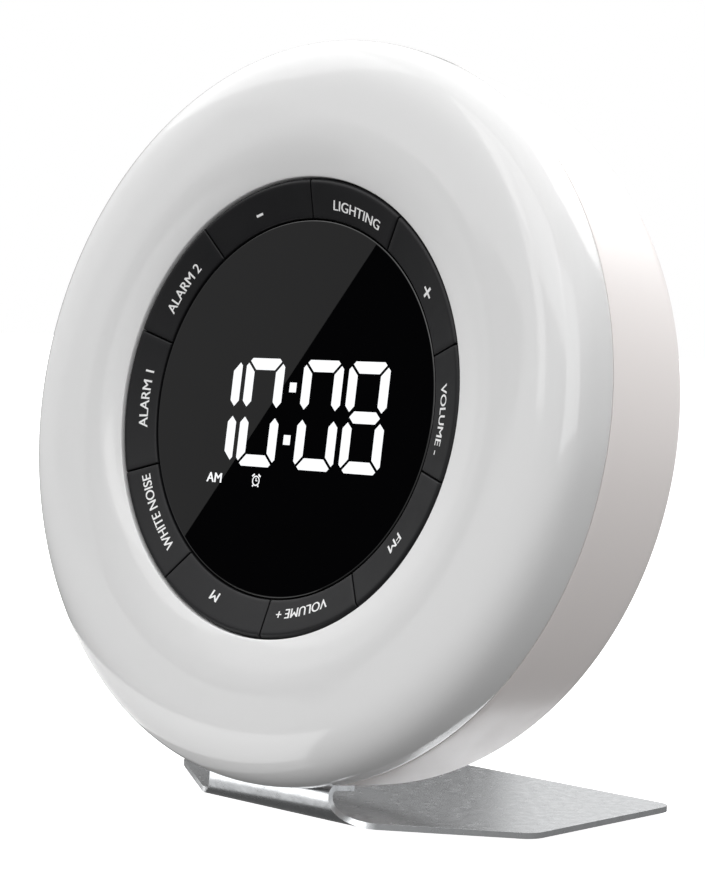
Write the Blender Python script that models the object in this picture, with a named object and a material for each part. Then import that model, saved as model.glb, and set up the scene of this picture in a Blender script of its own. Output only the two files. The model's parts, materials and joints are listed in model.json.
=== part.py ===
"""Round bedside clock radio with a lamp ring, ten keys and a bent sheet stand.

Units are metres, +Z up, the face looks along -Y. The origin is on the table,
under the middle of the bounding box. Everything in the round housing is drawn
in the housing's own frame (HOUSING): x to the viewer's right, y from the seam
between front shell and rear casing backwards, z up along the face. That frame
leans back by TILT on the stand.
"""
import bpy
import bmesh
from math import acos, asin, atan2, cos, pi, radians, sin, sqrt, tan
from mathutils import Matrix, Vector

MM = 0.001
GAP = 0.3 * MM                       # clearance between pieces that touch

# ---------------------------------------------------------------- driving dimensions
TILT = radians(7.8)                  # the face leans back
SEAM_R = 88.0 * MM                   # housing radius at the seam
SEAM_GAP = 0.3 * MM
WALL = 2.2 * MM                      # plastic wall
PAD_T = 1.0 * MM                     # rubber pads under the stand

SHELL_DEPTH = 13.3 * MM              # front shell, seam to crest
CREST_R = 68.0 * MM                  # radius of the crest circle
SHOULDER_POWER = 4.0                 # squareness of the outer shoulder
RING_R = 54.0 * MM                   # outside of the key ring
RING_FRONT = 10.9 * MM               # key ring's outer edge, in front of the seam
COLLAR_BACK = 4.5 * MM               # rear end of the collar round the keys

CASING_DEPTH = 32.0 * MM             # rear casing, seam to back wall
CASING_TAPER = 1.3 * MM              # loss of radius from the seam to the shoulder
CASING_SHOULDER = 8.0 * MM           # radius between side wall and back wall

KEY_PERIOD = 72.0                    # degrees taken by a narrow and a wide key together
KEY_NARROW = 33.3                    # degrees of the narrow one, first clockwise from the top
KEY_NAMES = ("lighting", "plus", "volume_down", "fm", "volume_up",
             "mode", "white_noise", "alarm_1", "alarm_2", "minus")
KEY_IN_R = 45.0 * MM
KEY_SINK = 2.9 * MM                  # the inner edge lies deeper than the outer edge
KEY_BEVEL = 1.3 * MM
KEY_BACK = 5.4 * MM                  # rear face of the keys, in front of the seam
KEY_TRAVEL = 0.8 * MM
KEY_SLIT = 0.35 * MM                 # slit between two keys and round them
STEM_R = (48.0 * MM, 51.0 * MM)      # radial size of a key's stem
STEM_END = 2.4 * MM

LENS_FRONT = 7.7 * MM
LENS_T = 2.0 * MM

FRAME_FRONT = 4.2 * MM               # key frame's flange
FRAME_BACK = 2.8 * MM
FRAME_OUT_R = 62.5 * MM
FRAME_IN_R = 41.2 * MM
BOARD_T = 1.6 * MM
BOARD_FRONT = -0.1 * MM              # display board's front face, in front of the seam

SPEAKER_Z = 32.0 * MM                # speaker's axis above the middle
SPEAKER_R = 20.0 * MM
BATTERY_Z = -30.0 * MM
DOOR_SIZE = (28.0 * MM, 26.0 * MM)
INLET_Z = -60.0 * MM
INLET_R = 3.5 * MM                   # socket for the round power plug
INLET_NOSE = 5.0 * MM                # its collar, seen in the back
INLET_DEPTH = 10.0 * MM
MAIN_BOARD_Y = 12.0 * MM

CASING_SCREW_R = 74.0 * MM
FRAME_SCREW_R = 59.6 * MM
BOARD_SCREWS = ((-31.0 * MM, -10.0 * MM), (31.0 * MM, -54.0 * MM))

SHEET = 1.45 * MM                    # stand's aluminium sheet
FOOT_FRONT = -10.7 * MM              # bend's front face, from the housing centre
FOOT_LENGTH = 81.2 * MM
FOOT_NECK = 19.7 * MM                # half width of flap and bend
FOOT_HALF = 58.5 * MM                # half width of the plate
FOOT_FLARE = 27.6 * MM               # where the oblique edges reach the full width
FOOT_RISE = 9.9 * MM                 # height of the bend
FOOT_UPPER_BEND = 2.4 * MM           # outside radii of the two bends
FOOT_LOWER_BEND = 6.5 * MM
FLAP_LENGTH = 8.8 * MM
FLAP_TOP = 85.1 * MM                 # flap's top face, below the housing's axis
FOOT_SCREW_X = 11.0 * MM
FOOT_SCREW_Y = 6.3 * MM
PAD_PLACES = ((12 * MM, 14.0 * MM), (49 * MM, 72.0 * MM))   # (x, distance from the bend)

AXIS_HEIGHT = 94.3 * MM + PAD_T      # housing centre above the table
HOUSING_Y = -23.48 * MM              # puts the origin under the middle of the box

ROUND = 60                           # segments of the large turned pieces
INNER = 36                           # of the rings inside
FINE = 20                            # of the speaker, cell and sockets
SMALL = 10                           # of screws and bosses
LEDS = 16                            # on the lamp board

# ---------------------------------------------------------------- materials


def srgb(hex_code):
    """Linear RGBA of an sRGB hex colour."""
    channels = [int(hex_code[i:i + 2], 16) / 255 for i in (1, 3, 5)]
    return [c / 12.92 if c <= 0.04045 else ((c + 0.055) / 1.055) ** 2.4 for c in channels] + [1.0]


def material(name, colour, rough, metal=0.0):
    mat = bpy.data.materials.new(name)
    mat.use_nodes = True
    shader = mat.node_tree.nodes["Principled BSDF"]
    shader.inputs["Base Color"].default_value = srgb(colour)
    shader.inputs["Roughness"].default_value = rough
    shader.inputs["Metallic"].default_value = metal
    mat.diffuse_color = srgb(colour)
    return mat


# ---------------------------------------------------------------- shape helpers


def make(name, bm, look, parent=None, place=(0, 0, 0), turn=(0, 0, 0), smooth=30):
    """Object from a bmesh, with outward faces, its material and its parent."""
    bmesh.ops.recalc_face_normals(bm, faces=bm.faces)
    mesh = bpy.data.meshes.new(name)
    bm.to_mesh(mesh)
    bm.free()
    mesh.shade_smooth()
    mesh.set_sharp_from_angle(angle=radians(smooth))
    obj = bpy.data.objects.new(name, mesh)
    bpy.context.scene.collection.objects.link(obj)
    if look:
        mesh.materials.append(look)
    obj.parent = parent
    obj.location = place
    obj.rotation_euler = turn
    return obj


def tool(name, bm, parent):
    """A hidden solid that a Boolean adds to or takes from a piece."""
    obj = make(name, bm, None, parent)
    obj.hide_render = True
    obj.display_type = "WIRE"
    return obj


def boolean(obj, operand, operation):
    mod = obj.modifiers.new(operation.lower(), "BOOLEAN")
    mod.operation = operation
    mod.solver = "EXACT"
    mod.object = operand


def add_turned(bm, profile, segments, centre=(0, 0), closed=True):
    """Turn (radius, y) points round an axis along y through centre (x, z)."""
    rings = []
    for radius, y in profile:
        if radius < 1e-7:
            rings.append([bm.verts.new((centre[0], y, centre[1]))])
            continue
        ring = []
        for i in range(segments):
            a = 2 * pi * i / segments
            ring.append(bm.verts.new((centre[0] + radius * sin(a), y, centre[1] + radius * cos(a))))
        rings.append(ring)
    pairs = list(zip(rings, rings[1:]))
    if closed:
        pairs.append((rings[-1], rings[0]))
    for one, two in pairs:
        for i in range(segments):
            j = (i + 1) % segments
            if len(one) == 1:
                bm.faces.new((one[0], two[i], two[j]))
            elif len(two) == 1:
                bm.faces.new((one[i], one[j], two[0]))
            else:
                bm.faces.new((one[i], one[j], two[j], two[i]))
    return bm


def turned(profile, segments, centre=(0, 0), closed=True):
    return add_turned(bmesh.new(), profile, segments, centre, closed)


def add_box(bm, low, high):
    middle = [(a + b) / 2 for a, b in zip(low, high)]
    size = [b - a for a, b in zip(low, high)]
    bmesh.ops.create_cube(bm, size=1, matrix=Matrix.Translation(middle) @ Matrix.Diagonal((*size, 1)))
    return bm


def add_rod(bm, radius, y0, y1, centre, segments=SMALL):
    """Solid cylinder along y."""
    return add_turned(bm, [(0, y0), (radius, y0), (radius, y1), (0, y1)], segments, centre, False)


def add_post(bm, radius, z0, z1, centre, segments=SMALL):
    """Solid cylinder along z, centre given as (x, y)."""
    turn = Matrix.Translation((centre[0], centre[1], (z0 + z1) / 2))
    bmesh.ops.create_cone(bm, cap_ends=True, segments=segments, radius1=radius, radius2=radius,
                          depth=z1 - z0, matrix=turn)
    return bm


def on_circle(radius, degrees):
    """(x, z) at an angle counted clockwise from the top."""
    return (radius * sin(radians(degrees)), radius * cos(radians(degrees)))


def key_span(k):
    """(first, last) angle in degrees of key k, clockwise from the top."""
    start = KEY_PERIOD * (k // 2)
    if k % 2 == 0:
        return start, start + KEY_NARROW
    return start + KEY_NARROW, start + KEY_PERIOD


def key_centre(k):
    return sum(key_span(k)) / 2


def offset(points, distance):
    """Polyline moved to its left by distance, point by point."""
    moved = []
    for i, point in enumerate(points):
        before = Vector(points[max(i - 1, 0)])
        after = Vector(points[min(i + 1, len(points) - 1)])
        run = (after - before).normalized()
        moved.append((point[0] - run.y * distance, point[1] + run.x * distance))
    return moved


def fillet(corners, radii, steps):
    """Open polyline through corners, each inner corner rounded by its radius."""
    path = [Vector(corners[0])]
    for before, corner, after, radius in zip(corners, corners[1:], corners[2:], radii):
        corner = Vector(corner)
        back = (Vector(before) - corner).normalized()
        ahead = (Vector(after) - corner).normalized()
        half = acos(max(-1, min(1, back.dot(ahead)))) / 2
        centre = corner + (back + ahead).normalized() * radius / sin(half)
        start = corner + back * radius / tan(half) - centre
        end = corner + ahead * radius / tan(half) - centre
        sweep = atan2(start.x * end.y - start.y * end.x, start.dot(end))
        for i in range(steps + 1):
            path.append(centre + Matrix.Rotation(sweep * i / steps, 2) @ start)
    path.append(Vector(corners[-1]))
    return path


# ---------------------------------------------------------------- profiles


def shell_front_curve(steps=9):
    """Front shell's outer line from the seam over the shoulder to the key ring.

    Shoulder: (u/a)^n + (v/b)^n = 1 with n = SHOULDER_POWER, in polar steps.
    Inner slope: a parabola that falls from the crest to the key ring.
    """
    wide, deep = SEAM_R - CREST_R, SHELL_DEPTH
    line = []
    for i in range(steps + 1):
        a = max(pi / 2 * i / steps, 1e-9)
        reach = ((cos(a) / wide) ** SHOULDER_POWER + (sin(a) / deep) ** SHOULDER_POWER)
        reach = reach ** (-1 / SHOULDER_POWER) if i < steps else deep
        line.append((CREST_R + reach * cos(a), -max(reach * sin(a), SEAM_GAP / 2)))
    lip = RING_R + KEY_SLIT
    for i in range(1, 4):
        t = i / 3
        line.append((CREST_R + (lip - CREST_R) * t, -(SHELL_DEPTH - (SHELL_DEPTH - RING_FRONT) * t * t)))
    return line


def casing_curve():
    """Rear casing's outer line from the seam to the middle of the back wall."""
    side = SEAM_R - CASING_TAPER
    turn = CASING_DEPTH - CASING_SHOULDER
    line = [(SEAM_R, SEAM_GAP / 2), (SEAM_R - 0.45 * CASING_TAPER, 0.5 * turn), (side, turn)]
    for i in range(1, 5):
        a = pi / 2 * i / 4
        line.append((side - CASING_SHOULDER * (1 - cos(a)), turn + CASING_SHOULDER * sin(a)))
    line.append((0, CASING_DEPTH))
    return line


def foot_height(y):
    """Height of the flap's top face above the plate's bottom, y behind the bend's front."""
    return FOOT_RISE - tan(TILT) * y


# ---------------------------------------------------------------- housing pieces


def front_shell(look, housing):
    """Milky front shell: a turned wall with a collar round the keys and eight bosses."""
    outer = shell_front_curve()
    inner = offset(outer, -WALL)[::2]
    collar = RING_R + KEY_SLIT + 1.8 * MM
    inner = [(r, y) for r, y in inner if r > collar + 1.0 * MM and y < -SEAM_GAP]
    inside = [(outer[0][0] - WALL, outer[0][1])] + inner + [(collar, inner[-1][1] + 0.3 * MM)]
    profile = outer + [(RING_R + KEY_SLIT, -COLLAR_BACK), (collar, -COLLAR_BACK)] + inside[::-1]
    obj = make("front_shell", turned(profile, ROUND), look, housing)
    bosses = bmesh.new()
    bores = bmesh.new()
    for k in range(4):
        spot = on_circle(CASING_SCREW_R, 45 + 90 * k)
        add_rod(bosses, 3.8 * MM, -11.6 * MM, -1.0 * MM, spot)
        add_rod(bores, 1.45 * MM, -8.5 * MM, 0, spot)
        spot = on_circle(FRAME_SCREW_R, 90 * k)
        add_rod(bosses, 2.6 * MM, -11.2 * MM, -COLLAR_BACK, spot)
        add_rod(bores, 1.2 * MM, -8.5 * MM, 0, spot)
    boolean(obj, tool("shell_bosses", bosses, housing), "UNION")
    boolean(obj, tool("shell_bores", bores, housing), "DIFFERENCE")
    return obj


def rear_casing(look, housing):
    """Rear casing: a turned cup with grille, battery opening, inlet hole and bosses."""
    outer = casing_curve()
    inner = [(r, y) for r, y in offset(outer, WALL) if y > 1.0 * MM]
    tongue = [(SEAM_R - WALL - GAP, SEAM_GAP / 2), (SEAM_R - WALL - GAP, -2.0 * MM),
              (SEAM_R - WALL - 1.8 * MM, -2.0 * MM), (SEAM_R - WALL - 1.8 * MM, 3.0 * MM)]
    profile = inner[::-1] + tongue[::-1] + outer
    obj = make("rear_casing", turned(profile, ROUND, closed=False), look, housing)

    added = bmesh.new()
    for k in range(4):
        add_rod(added, 3.9 * MM, 0.6 * MM, CASING_DEPTH - 1.0 * MM, on_circle(CASING_SCREW_R, 45 + 90 * k))
    for spot in BOARD_SCREWS:
        add_rod(added, 2.8 * MM, MAIN_BOARD_Y + BOARD_T + GAP, CASING_DEPTH - 1.0 * MM, spot)
    add_box(added, (-18.5 * MM, 0.6 * MM, -86.3 * MM), (18.5 * MM, 10.2 * MM, -77.0 * MM))
    boolean(obj, tool("casing_bosses", added, housing), "UNION")

    cut = bmesh.new()
    for k in range(4):
        spot = on_circle(CASING_SCREW_R, 45 + 90 * k)
        add_turned(cut, [(0, -1 * MM), (1.5 * MM, -1 * MM), (1.5 * MM, 23 * MM), (3.0 * MM, 23 * MM),
                         (3.0 * MM, 40 * MM), (0, 40 * MM)], SMALL, spot, False)
    for spot in BOARD_SCREWS:
        add_rod(cut, 1.2 * MM, MAIN_BOARD_Y, 24 * MM, spot)
    add_box(cut, (-30 * MM, -4 * MM, -FLAP_TOP - 6 * MM), (30 * MM, FLAP_LENGTH + 2.0 * MM, -FLAP_TOP + GAP))
    wide, tall = DOOR_SIZE
    add_box(cut, (-wide / 2, CASING_DEPTH - 2.0 * MM, BATTERY_Z - tall / 2),
            (wide / 2, CASING_DEPTH + 2 * MM, BATTERY_Z + tall / 2))
    boolean(obj, tool("casing_cuts", cut, housing), "DIFFERENCE")

    slots = bmesh.new()
    add_rod(slots, INLET_NOSE + GAP, 27 * MM, 40 * MM, (0, INLET_Z), FINE)
    for side in (-1, 1):
        add_post(slots, 1.7 * MM, -FLAP_TOP - 2 * MM, -70 * MM, (side * FOOT_SCREW_X, FOOT_SCREW_Y))
    ledge = 2.0 * MM
    add_box(slots, (-wide / 2 + ledge, 26 * MM, BATTERY_Z - tall / 2 + ledge),
            (wide / 2 - ledge, 40 * MM, BATTERY_Z + tall / 2 - ledge))
    pitch, half = 4.4 * MM, 1.2 * MM
    for i in range(-3, 4):
        reach = sqrt((SPEAKER_R - 3.5 * MM) ** 2 - (i * pitch) ** 2)
        add_box(slots, (-reach, 26 * MM, SPEAKER_Z + i * pitch - half),
                (reach, 40 * MM, SPEAKER_Z + i * pitch + half))
    boolean(obj, tool("casing_slots", slots, housing), "DIFFERENCE")
    return obj


def display_lens(look, housing):
    """Glossy black disc inside the key ring."""
    radius = KEY_IN_R - KEY_SLIT
    back = -(LENS_FRONT - LENS_T)
    profile = [(0, -LENS_FRONT), (radius - 0.3 * MM, -LENS_FRONT), (radius, -LENS_FRONT + 0.3 * MM),
               (radius, back), (0, back)]
    return make("display_lens", turned(profile, ROUND, closed=False), look, housing)


def key_solid(degrees):
    """A key that spans an angle, drawn at the top of the ring about (0, 0, middle radius).

    A wedge of the turned ring profile with parallel-sided slits, and a stem
    drawn out of the middle of its rear face.
    """
    middle = (KEY_IN_R + RING_R) / 2
    front_in = RING_FRONT - KEY_SINK
    slope = KEY_SINK / (RING_R - KEY_IN_R)
    rim_r = RING_R - KEY_BEVEL
    profile = [(KEY_IN_R, -front_in + 0.25 * MM), (KEY_IN_R + 0.25 * MM, -front_in - 0.05 * MM)]
    for i in range(4):
        a = pi / 2 * i / 3
        profile.append((rim_r + KEY_BEVEL * sin(a),
                        -(RING_FRONT - slope * KEY_BEVEL) + KEY_BEVEL * (1 - cos(a))))
    profile += [(RING_R, -KEY_BACK), (STEM_R[1], -KEY_BACK), (STEM_R[0], -KEY_BACK), (KEY_IN_R, -KEY_BACK)]
    bm = bmesh.new()
    half_angle, steps = radians(degrees) / 2, 7
    columns = []
    for i in range(steps + 1):
        column = []
        for radius, y in profile:
            edge = half_angle - asin(KEY_SLIT / 2 / radius)
            a = edge * (2 * i / steps - 1)
            column.append(bm.verts.new((radius * sin(a), y, radius * cos(a) - middle)))
        columns.append(column)
    count = len(profile)
    stem_faces = []
    for i in range(steps):
        for j in range(count):
            k = (j + 1) % count
            face = bm.faces.new((columns[i][j], columns[i + 1][j], columns[i + 1][k], columns[i][k]))
            if j == count - 3 and i == steps // 2:
                stem_faces.append(face)
    bm.faces.new(columns[0])
    bm.faces.new(columns[-1][::-1])
    grown = bmesh.ops.extrude_face_region(bm, geom=stem_faces)
    stem = [v for v in grown["geom"] if isinstance(v, bmesh.types.BMVert)]
    bmesh.ops.translate(bm, verts=stem, vec=(0, KEY_BACK - STEM_END, 0))
    bmesh.ops.delete(bm, geom=stem_faces, context="FACES")
    return bm


def keys(look, housing):
    """Ten keys, clockwise from the top, each with its origin in the middle of the ring's width."""
    middle = (KEY_IN_R + RING_R) / 2
    for k, name in enumerate(KEY_NAMES):
        first, last = key_span(k)
        x, z = on_circle(middle, key_centre(k))
        turn = (0, radians(key_centre(k)), 0)
        make("key_" + name, key_solid(last - first), look, housing, (x, 0, z), turn)


def key_frame(look, housing):
    """Black frame behind keys and lens: flange, inner collar, four spacers, ten stem holes."""
    collar = 2.4 * MM
    front = LENS_FRONT - LENS_T - 0.1 * MM
    profile = [(FRAME_IN_R, -FRAME_BACK), (FRAME_OUT_R, -FRAME_BACK), (FRAME_OUT_R, -FRAME_FRONT),
               (FRAME_IN_R + collar, -FRAME_FRONT), (FRAME_IN_R + collar, -front), (FRAME_IN_R, -front)]
    obj = make("key_frame", turned(profile, INNER), look, housing)
    added, cut = bmesh.new(), bmesh.new()
    for k in range(4):
        spot = on_circle(FRAME_SCREW_R, 90 * k)
        add_rod(added, 2.6 * MM, -FRAME_BACK - 0.5 * MM, -(BOARD_FRONT + 0.2 * MM), spot)
        add_rod(cut, 1.4 * MM, -8 * MM, 2 * MM, spot)
    boolean(obj, tool("frame_spacers", added, housing), "UNION")
    middle = sum(STEM_R) / 2
    for k in range(len(KEY_NAMES)):
        turn = Matrix.Rotation(radians(key_centre(k)), 4, "Y")
        size = Matrix.Diagonal((6.4 * MM, 8 * MM, STEM_R[1] - STEM_R[0] + 1.4 * MM, 1))
        bmesh.ops.create_cube(cut, size=1, matrix=turn @ Matrix.Translation((0, -4 * MM, middle)) @ size)
    boolean(obj, tool("frame_holes", cut, housing), "DIFFERENCE")
    return obj


def key_mat(look, housing):
    """Silicone mat with a dome under each key."""
    back, front = -(BOARD_FRONT + 0.2 * MM), -0.9 * MM
    middle = sum(STEM_R) / 2
    profile = [(middle - 3.0 * MM, back), (middle + 3.0 * MM, back),
               (middle + 3.0 * MM, front), (middle - 3.0 * MM, front)]
    obj = make("key_mat", turned(profile, INNER), look, housing)
    domes = bmesh.new()
    top = -(STEM_END - KEY_TRAVEL - 0.15 * MM)
    for k in range(len(KEY_NAMES)):
        spot = on_circle(middle, key_centre(k))
        add_turned(domes, [(0, front + 0.3 * MM), (2.3 * MM, front + 0.3 * MM), (2.3 * MM, front - 0.2 * MM),
                           (1.5 * MM, top), (0, top)], 8, spot, False)
    boolean(obj, tool("mat_domes", domes, housing), "UNION")
    return obj


def disc_with_holes(name, profile, spots, hole_r, look, housing):
    """A turned ring or disc with a small hole at each spot."""
    on_axis = profile[0][0] < 1e-7
    obj = make(name, turned(profile, INNER, closed=not on_axis), look, housing)
    holes = bmesh.new()
    for spot in spots:
        add_rod(holes, hole_r, -20 * MM, 20 * MM, spot)
    boolean(obj, tool(name + "_holes", holes, housing), "DIFFERENCE")
    return obj


def display_electronics(looks, housing):
    """Digit module, the board it stands on, the lamp's LED board and its reflector."""
    bm = add_box(bmesh.new(), (-33 * MM, -(LENS_FRONT - LENS_T - GAP), -15 * MM),
                 (33 * MM, -(BOARD_FRONT + 0.2 * MM), 15 * MM))
    make("display_module", bm, looks["black"], housing)

    back = -BOARD_FRONT + BOARD_T
    profile = [(0, -BOARD_FRONT), (FRAME_OUT_R, -BOARD_FRONT), (FRAME_OUT_R, back), (0, back)]
    spots = [on_circle(FRAME_SCREW_R, 90 * k) for k in range(4)]
    disc_with_holes("display_board", profile, spots, 1.4 * MM, looks["board"], housing)

    profile = [(63.2 * MM, -0.7 * MM), (83.2 * MM, -0.7 * MM), (83.2 * MM, 0.3 * MM), (63.2 * MM, 0.3 * MM)]
    spots = [on_circle(CASING_SCREW_R, 45 + 90 * k) for k in range(4)]
    disc_with_holes("light_reflector", profile, spots, 1.5 * MM, looks["white"], housing)
    make("lamp_board", lamp_board_solid(), looks["board_white"], housing)


def lamp_board_solid():
    """LED board of the lamp ring: every third quad of a ring is drawn out into an LED."""
    bm = bmesh.new()
    radii = (64.0 * MM, 65.7 * MM, 68.2 * MM, 69.8 * MM)
    back, front, led = -1.0 * MM, -2.6 * MM, 0.8 * MM
    rings = {}
    for level, y in (("front", front), ("back", back)):
        for n, radius in enumerate(radii):
            if level == "back" and n in (1, 2):
                continue
            ring = []
            for i in range(3 * LEDS):
                third = (0, 0.42, 0.58)[i % 3]
                x, z = on_circle(radius, 360 / LEDS * (i // 3 + third))
                ring.append(bm.verts.new((x, y, z)))
            rings[level, n] = ring
    order = [rings["front", n] for n in range(4)] + [rings["back", 3], rings["back", 0]]
    leds = []
    for n, one in enumerate(order):
        two = order[(n + 1) % len(order)]
        for i in range(3 * LEDS):
            j = (i + 1) % (3 * LEDS)
            face = bm.faces.new((one[i], one[j], two[j], two[i]))
            if n == 1 and i % 3 == 1:
                leds.append(face)
    for face in leds:
        verts = list(face.verts)
        top = [bm.verts.new(v.co + Vector((0, -led, 0))) for v in verts]
        for a in range(4):
            b = (a + 1) % 4
            bm.faces.new((verts[a], verts[b], top[b], top[a]))
        bm.faces.new(top)
    bmesh.ops.delete(bm, geom=leds, context="FACES_ONLY")
    return bm


def rear_electronics(looks, housing):
    """Main board, power inlet, speaker, battery holder, cell, contact and battery door."""
    y0, y1 = MAIN_BOARD_Y, MAIN_BOARD_Y + BOARD_T
    bm = add_box(bmesh.new(), (-36 * MM, y0, -62 * MM), (36 * MM, y1, -3 * MM))
    board = make("main_board", bm, looks["board"], housing)
    holes = bmesh.new()
    for spot in BOARD_SCREWS:
        add_rod(holes, 1.4 * MM, 0, 20 * MM, spot)
    boolean(board, tool("main_board_holes", holes, housing), "DIFFERENCE")

    back = CASING_DEPTH - WALL - GAP
    bm = add_box(bmesh.new(), (-6 * MM, y1 + GAP, INLET_Z - 6 * MM), (6 * MM, back, INLET_Z + 6 * MM))
    inlet = make("power_inlet", bm, looks["black"], housing)
    mouth = CASING_DEPTH - 0.2 * MM
    nose = add_rod(bmesh.new(), INLET_NOSE, back - 2 * MM, mouth, (0, INLET_Z), FINE)
    boolean(inlet, tool("inlet_nose", nose, housing), "UNION")
    bore = add_rod(bmesh.new(), INLET_R, mouth - INLET_DEPTH, mouth + 5 * MM, (0, INLET_Z), FINE)
    boolean(inlet, tool("inlet_bore", bore, housing), "DIFFERENCE")

    axis = (0, SPEAKER_Z)
    r = SPEAKER_R
    profile = [(r, back), (r, back - 1.4 * MM), (r - 1.3 * MM, back - 1.8 * MM), (13.4 * MM, back - 10 * MM),
               (13.4 * MM, back - 11.5 * MM), (5 * MM, back - 11.5 * MM), (5 * MM, back - 10.3 * MM),
               (11.9 * MM, back - 10.3 * MM), (r - 2.4 * MM, back - 1.2 * MM), (r - 2.4 * MM, back)]
    make("speaker_frame", turned(profile, FINE, axis), looks["steel"], housing)
    profile = [(0, back - 20.5 * MM), (12.6 * MM, back - 20.5 * MM), (13 * MM, back - 20 * MM),
               (13 * MM, back - 12.3 * MM), (12.6 * MM, back - 11.8 * MM), (0, back - 11.8 * MM)]
    make("speaker_magnet", turned(profile, FINE, axis, False), looks["magnet"], housing)
    profile = [(0, back - 4.6 * MM), (4.2 * MM, back - 5.4 * MM), (6 * MM, back - 6.6 * MM),
               (14 * MM, back - 1.4 * MM), (15.4 * MM, back - 0.4 * MM), (16.6 * MM, back - 1.0 * MM),
               (17.2 * MM, back - 0.9 * MM), (17.2 * MM, back - 1.4 * MM), (16.4 * MM, back - 1.6 * MM),
               (15.2 * MM, back - 1.2 * MM), (6 * MM, back - 7.4 * MM), (0, back - 5.6 * MM)]
    make("speaker_cone", turned(profile, FINE, axis, False), looks["paper"], housing)

    bm = add_box(bmesh.new(), (-13 * MM, 20.5 * MM, BATTERY_Z - 12 * MM),
                 (13 * MM, 27.3 * MM, BATTERY_Z + 12 * MM))
    holder = make("battery_holder", bm, looks["black"], housing)
    bay = add_rod(bmesh.new(), 10.3 * MM, 23.3 * MM, 35 * MM, (0, BATTERY_Z), FINE)
    boolean(holder, tool("holder_bay", bay, housing), "DIFFERENCE")
    bm = turned([(0, 23.6 * MM), (9.6 * MM, 23.6 * MM), (10 * MM, 24 * MM), (10 * MM, 26.4 * MM),
                 (9.6 * MM, 26.8 * MM), (0, 26.8 * MM)], FINE, (0, BATTERY_Z), False)
    make("coin_cell", bm, looks["steel"], housing)
    bm = strip([(-12 * MM, 27.5 * MM), (-9 * MM, 27.5 * MM), (-7 * MM, 27.1 * MM), (3 * MM, 27.1 * MM)],
               0.35 * MM, BATTERY_Z - 2 * MM, BATTERY_Z + 2 * MM)
    make("cell_contact", bm, looks["steel"], housing)

    wide, tall = DOOR_SIZE[0] / 2 - GAP, DOOR_SIZE[1] / 2 - GAP
    thick = 1.75 * MM
    bm = add_box(bmesh.new(), (-wide, 0, -tall), (wide, thick, tall))
    edges = [e for e in bm.edges if abs(e.verts[0].co.y - e.verts[1].co.y) > 1e-6]
    bmesh.ops.bevel(bm, geom=edges, offset=0.6 * MM, segments=2, affect="EDGES")
    door = make("battery_door", bm, looks["casing"], housing, (0, CASING_DEPTH - thick, BATTERY_Z))
    grip = add_rod(bmesh.new(), 4 * MM, thick - 0.6 * MM, thick + 2 * MM, (0, tall - 2.6 * MM), 16)
    grip_tool = tool("door_grip", grip, housing)
    grip_tool.location = door.location
    boolean(door, grip_tool, "DIFFERENCE")


def strip(points, thick, z0, z1):
    """A bent strip: points (x, y) along its lower face, thickness towards +y."""
    bm = bmesh.new()
    rows = []
    for x, y in points:
        rows.append([bm.verts.new(v) for v in ((x, y, z0), (x, y, z1), (x, y + thick, z1), (x, y + thick, z0))])
    for one, two in zip(rows, rows[1:]):
        for i in range(4):
            j = (i + 1) % 4
            bm.faces.new((one[i], one[j], two[j], two[i]))
    bm.faces.new(rows[0])
    bm.faces.new(rows[-1][::-1])
    return bm


def screw_profile(shank_r, head_r, head_t, length):
    """Pan head at y = 0 looking along +y, the shank running towards -y."""
    return [(0, head_t), (0.6 * head_r, head_t), (head_r, 0.45 * head_t), (head_r, 0), (shank_r, 0),
            (shank_r, -length + 0.8 * MM), (0.4 * shank_r, -length), (0, -length)]


def screws(look, housing):
    """Fasteners of the casing, the key frame, the main board and the stand."""
    casing = screw_profile(1.25 * MM, 2.6 * MM, 1.7 * MM, 30.5 * MM)
    frame = screw_profile(1.0 * MM, 2.0 * MM, 1.2 * MM, 9.4 * MM)
    board = screw_profile(1.0 * MM, 2.0 * MM, 1.2 * MM, 9.0 * MM)
    stand = screw_profile(1.45 * MM, 2.8 * MM, 1.8 * MM, 12.0 * MM)
    for k in range(4):
        x, z = on_circle(CASING_SCREW_R, 45 + 90 * k)
        make(f"casing_screw_{k + 1}", turned(casing, 10, closed=False), look, housing,
             (x, 23 * MM + 0.1 * MM, z))
        x, z = on_circle(FRAME_SCREW_R, 90 * k)
        make(f"frame_screw_{k + 1}", turned(frame, 10, closed=False), look, housing,
             (x, BOARD_T - BOARD_FRONT + 0.1 * MM, z))
    for k, (x, z) in enumerate(BOARD_SCREWS):
        make(f"board_screw_{k + 1}", turned(board, 10, closed=False), look, housing,
             (x, MAIN_BOARD_Y - 0.1 * MM, z), (0, 0, pi))
    for side, name in ((-1, "left"), (1, "right")):
        make("stand_screw_" + name, turned(stand, 10, closed=False), look, housing,
             (side * FOOT_SCREW_X, FOOT_SCREW_Y, -77 * MM + 0.1 * MM), (pi / 2, 0, 0))
        nut = bmesh.new()
        add_post(nut, 2.9 * MM, -FLAP_TOP - SHEET - 2.5 * MM, -FLAP_TOP - SHEET - 0.1 * MM, (0, 0), 6)
        obj = make("stand_nut_" + name, nut, look, housing, (side * FOOT_SCREW_X, FOOT_SCREW_Y, 0))
        bore = add_post(bmesh.new(), 1.6 * MM, -95 * MM, -80 * MM, (side * FOOT_SCREW_X, FOOT_SCREW_Y))
        boolean(obj, tool("nut_bore_" + name, bore, housing), "DIFFERENCE")


# ---------------------------------------------------------------- stand


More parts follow.
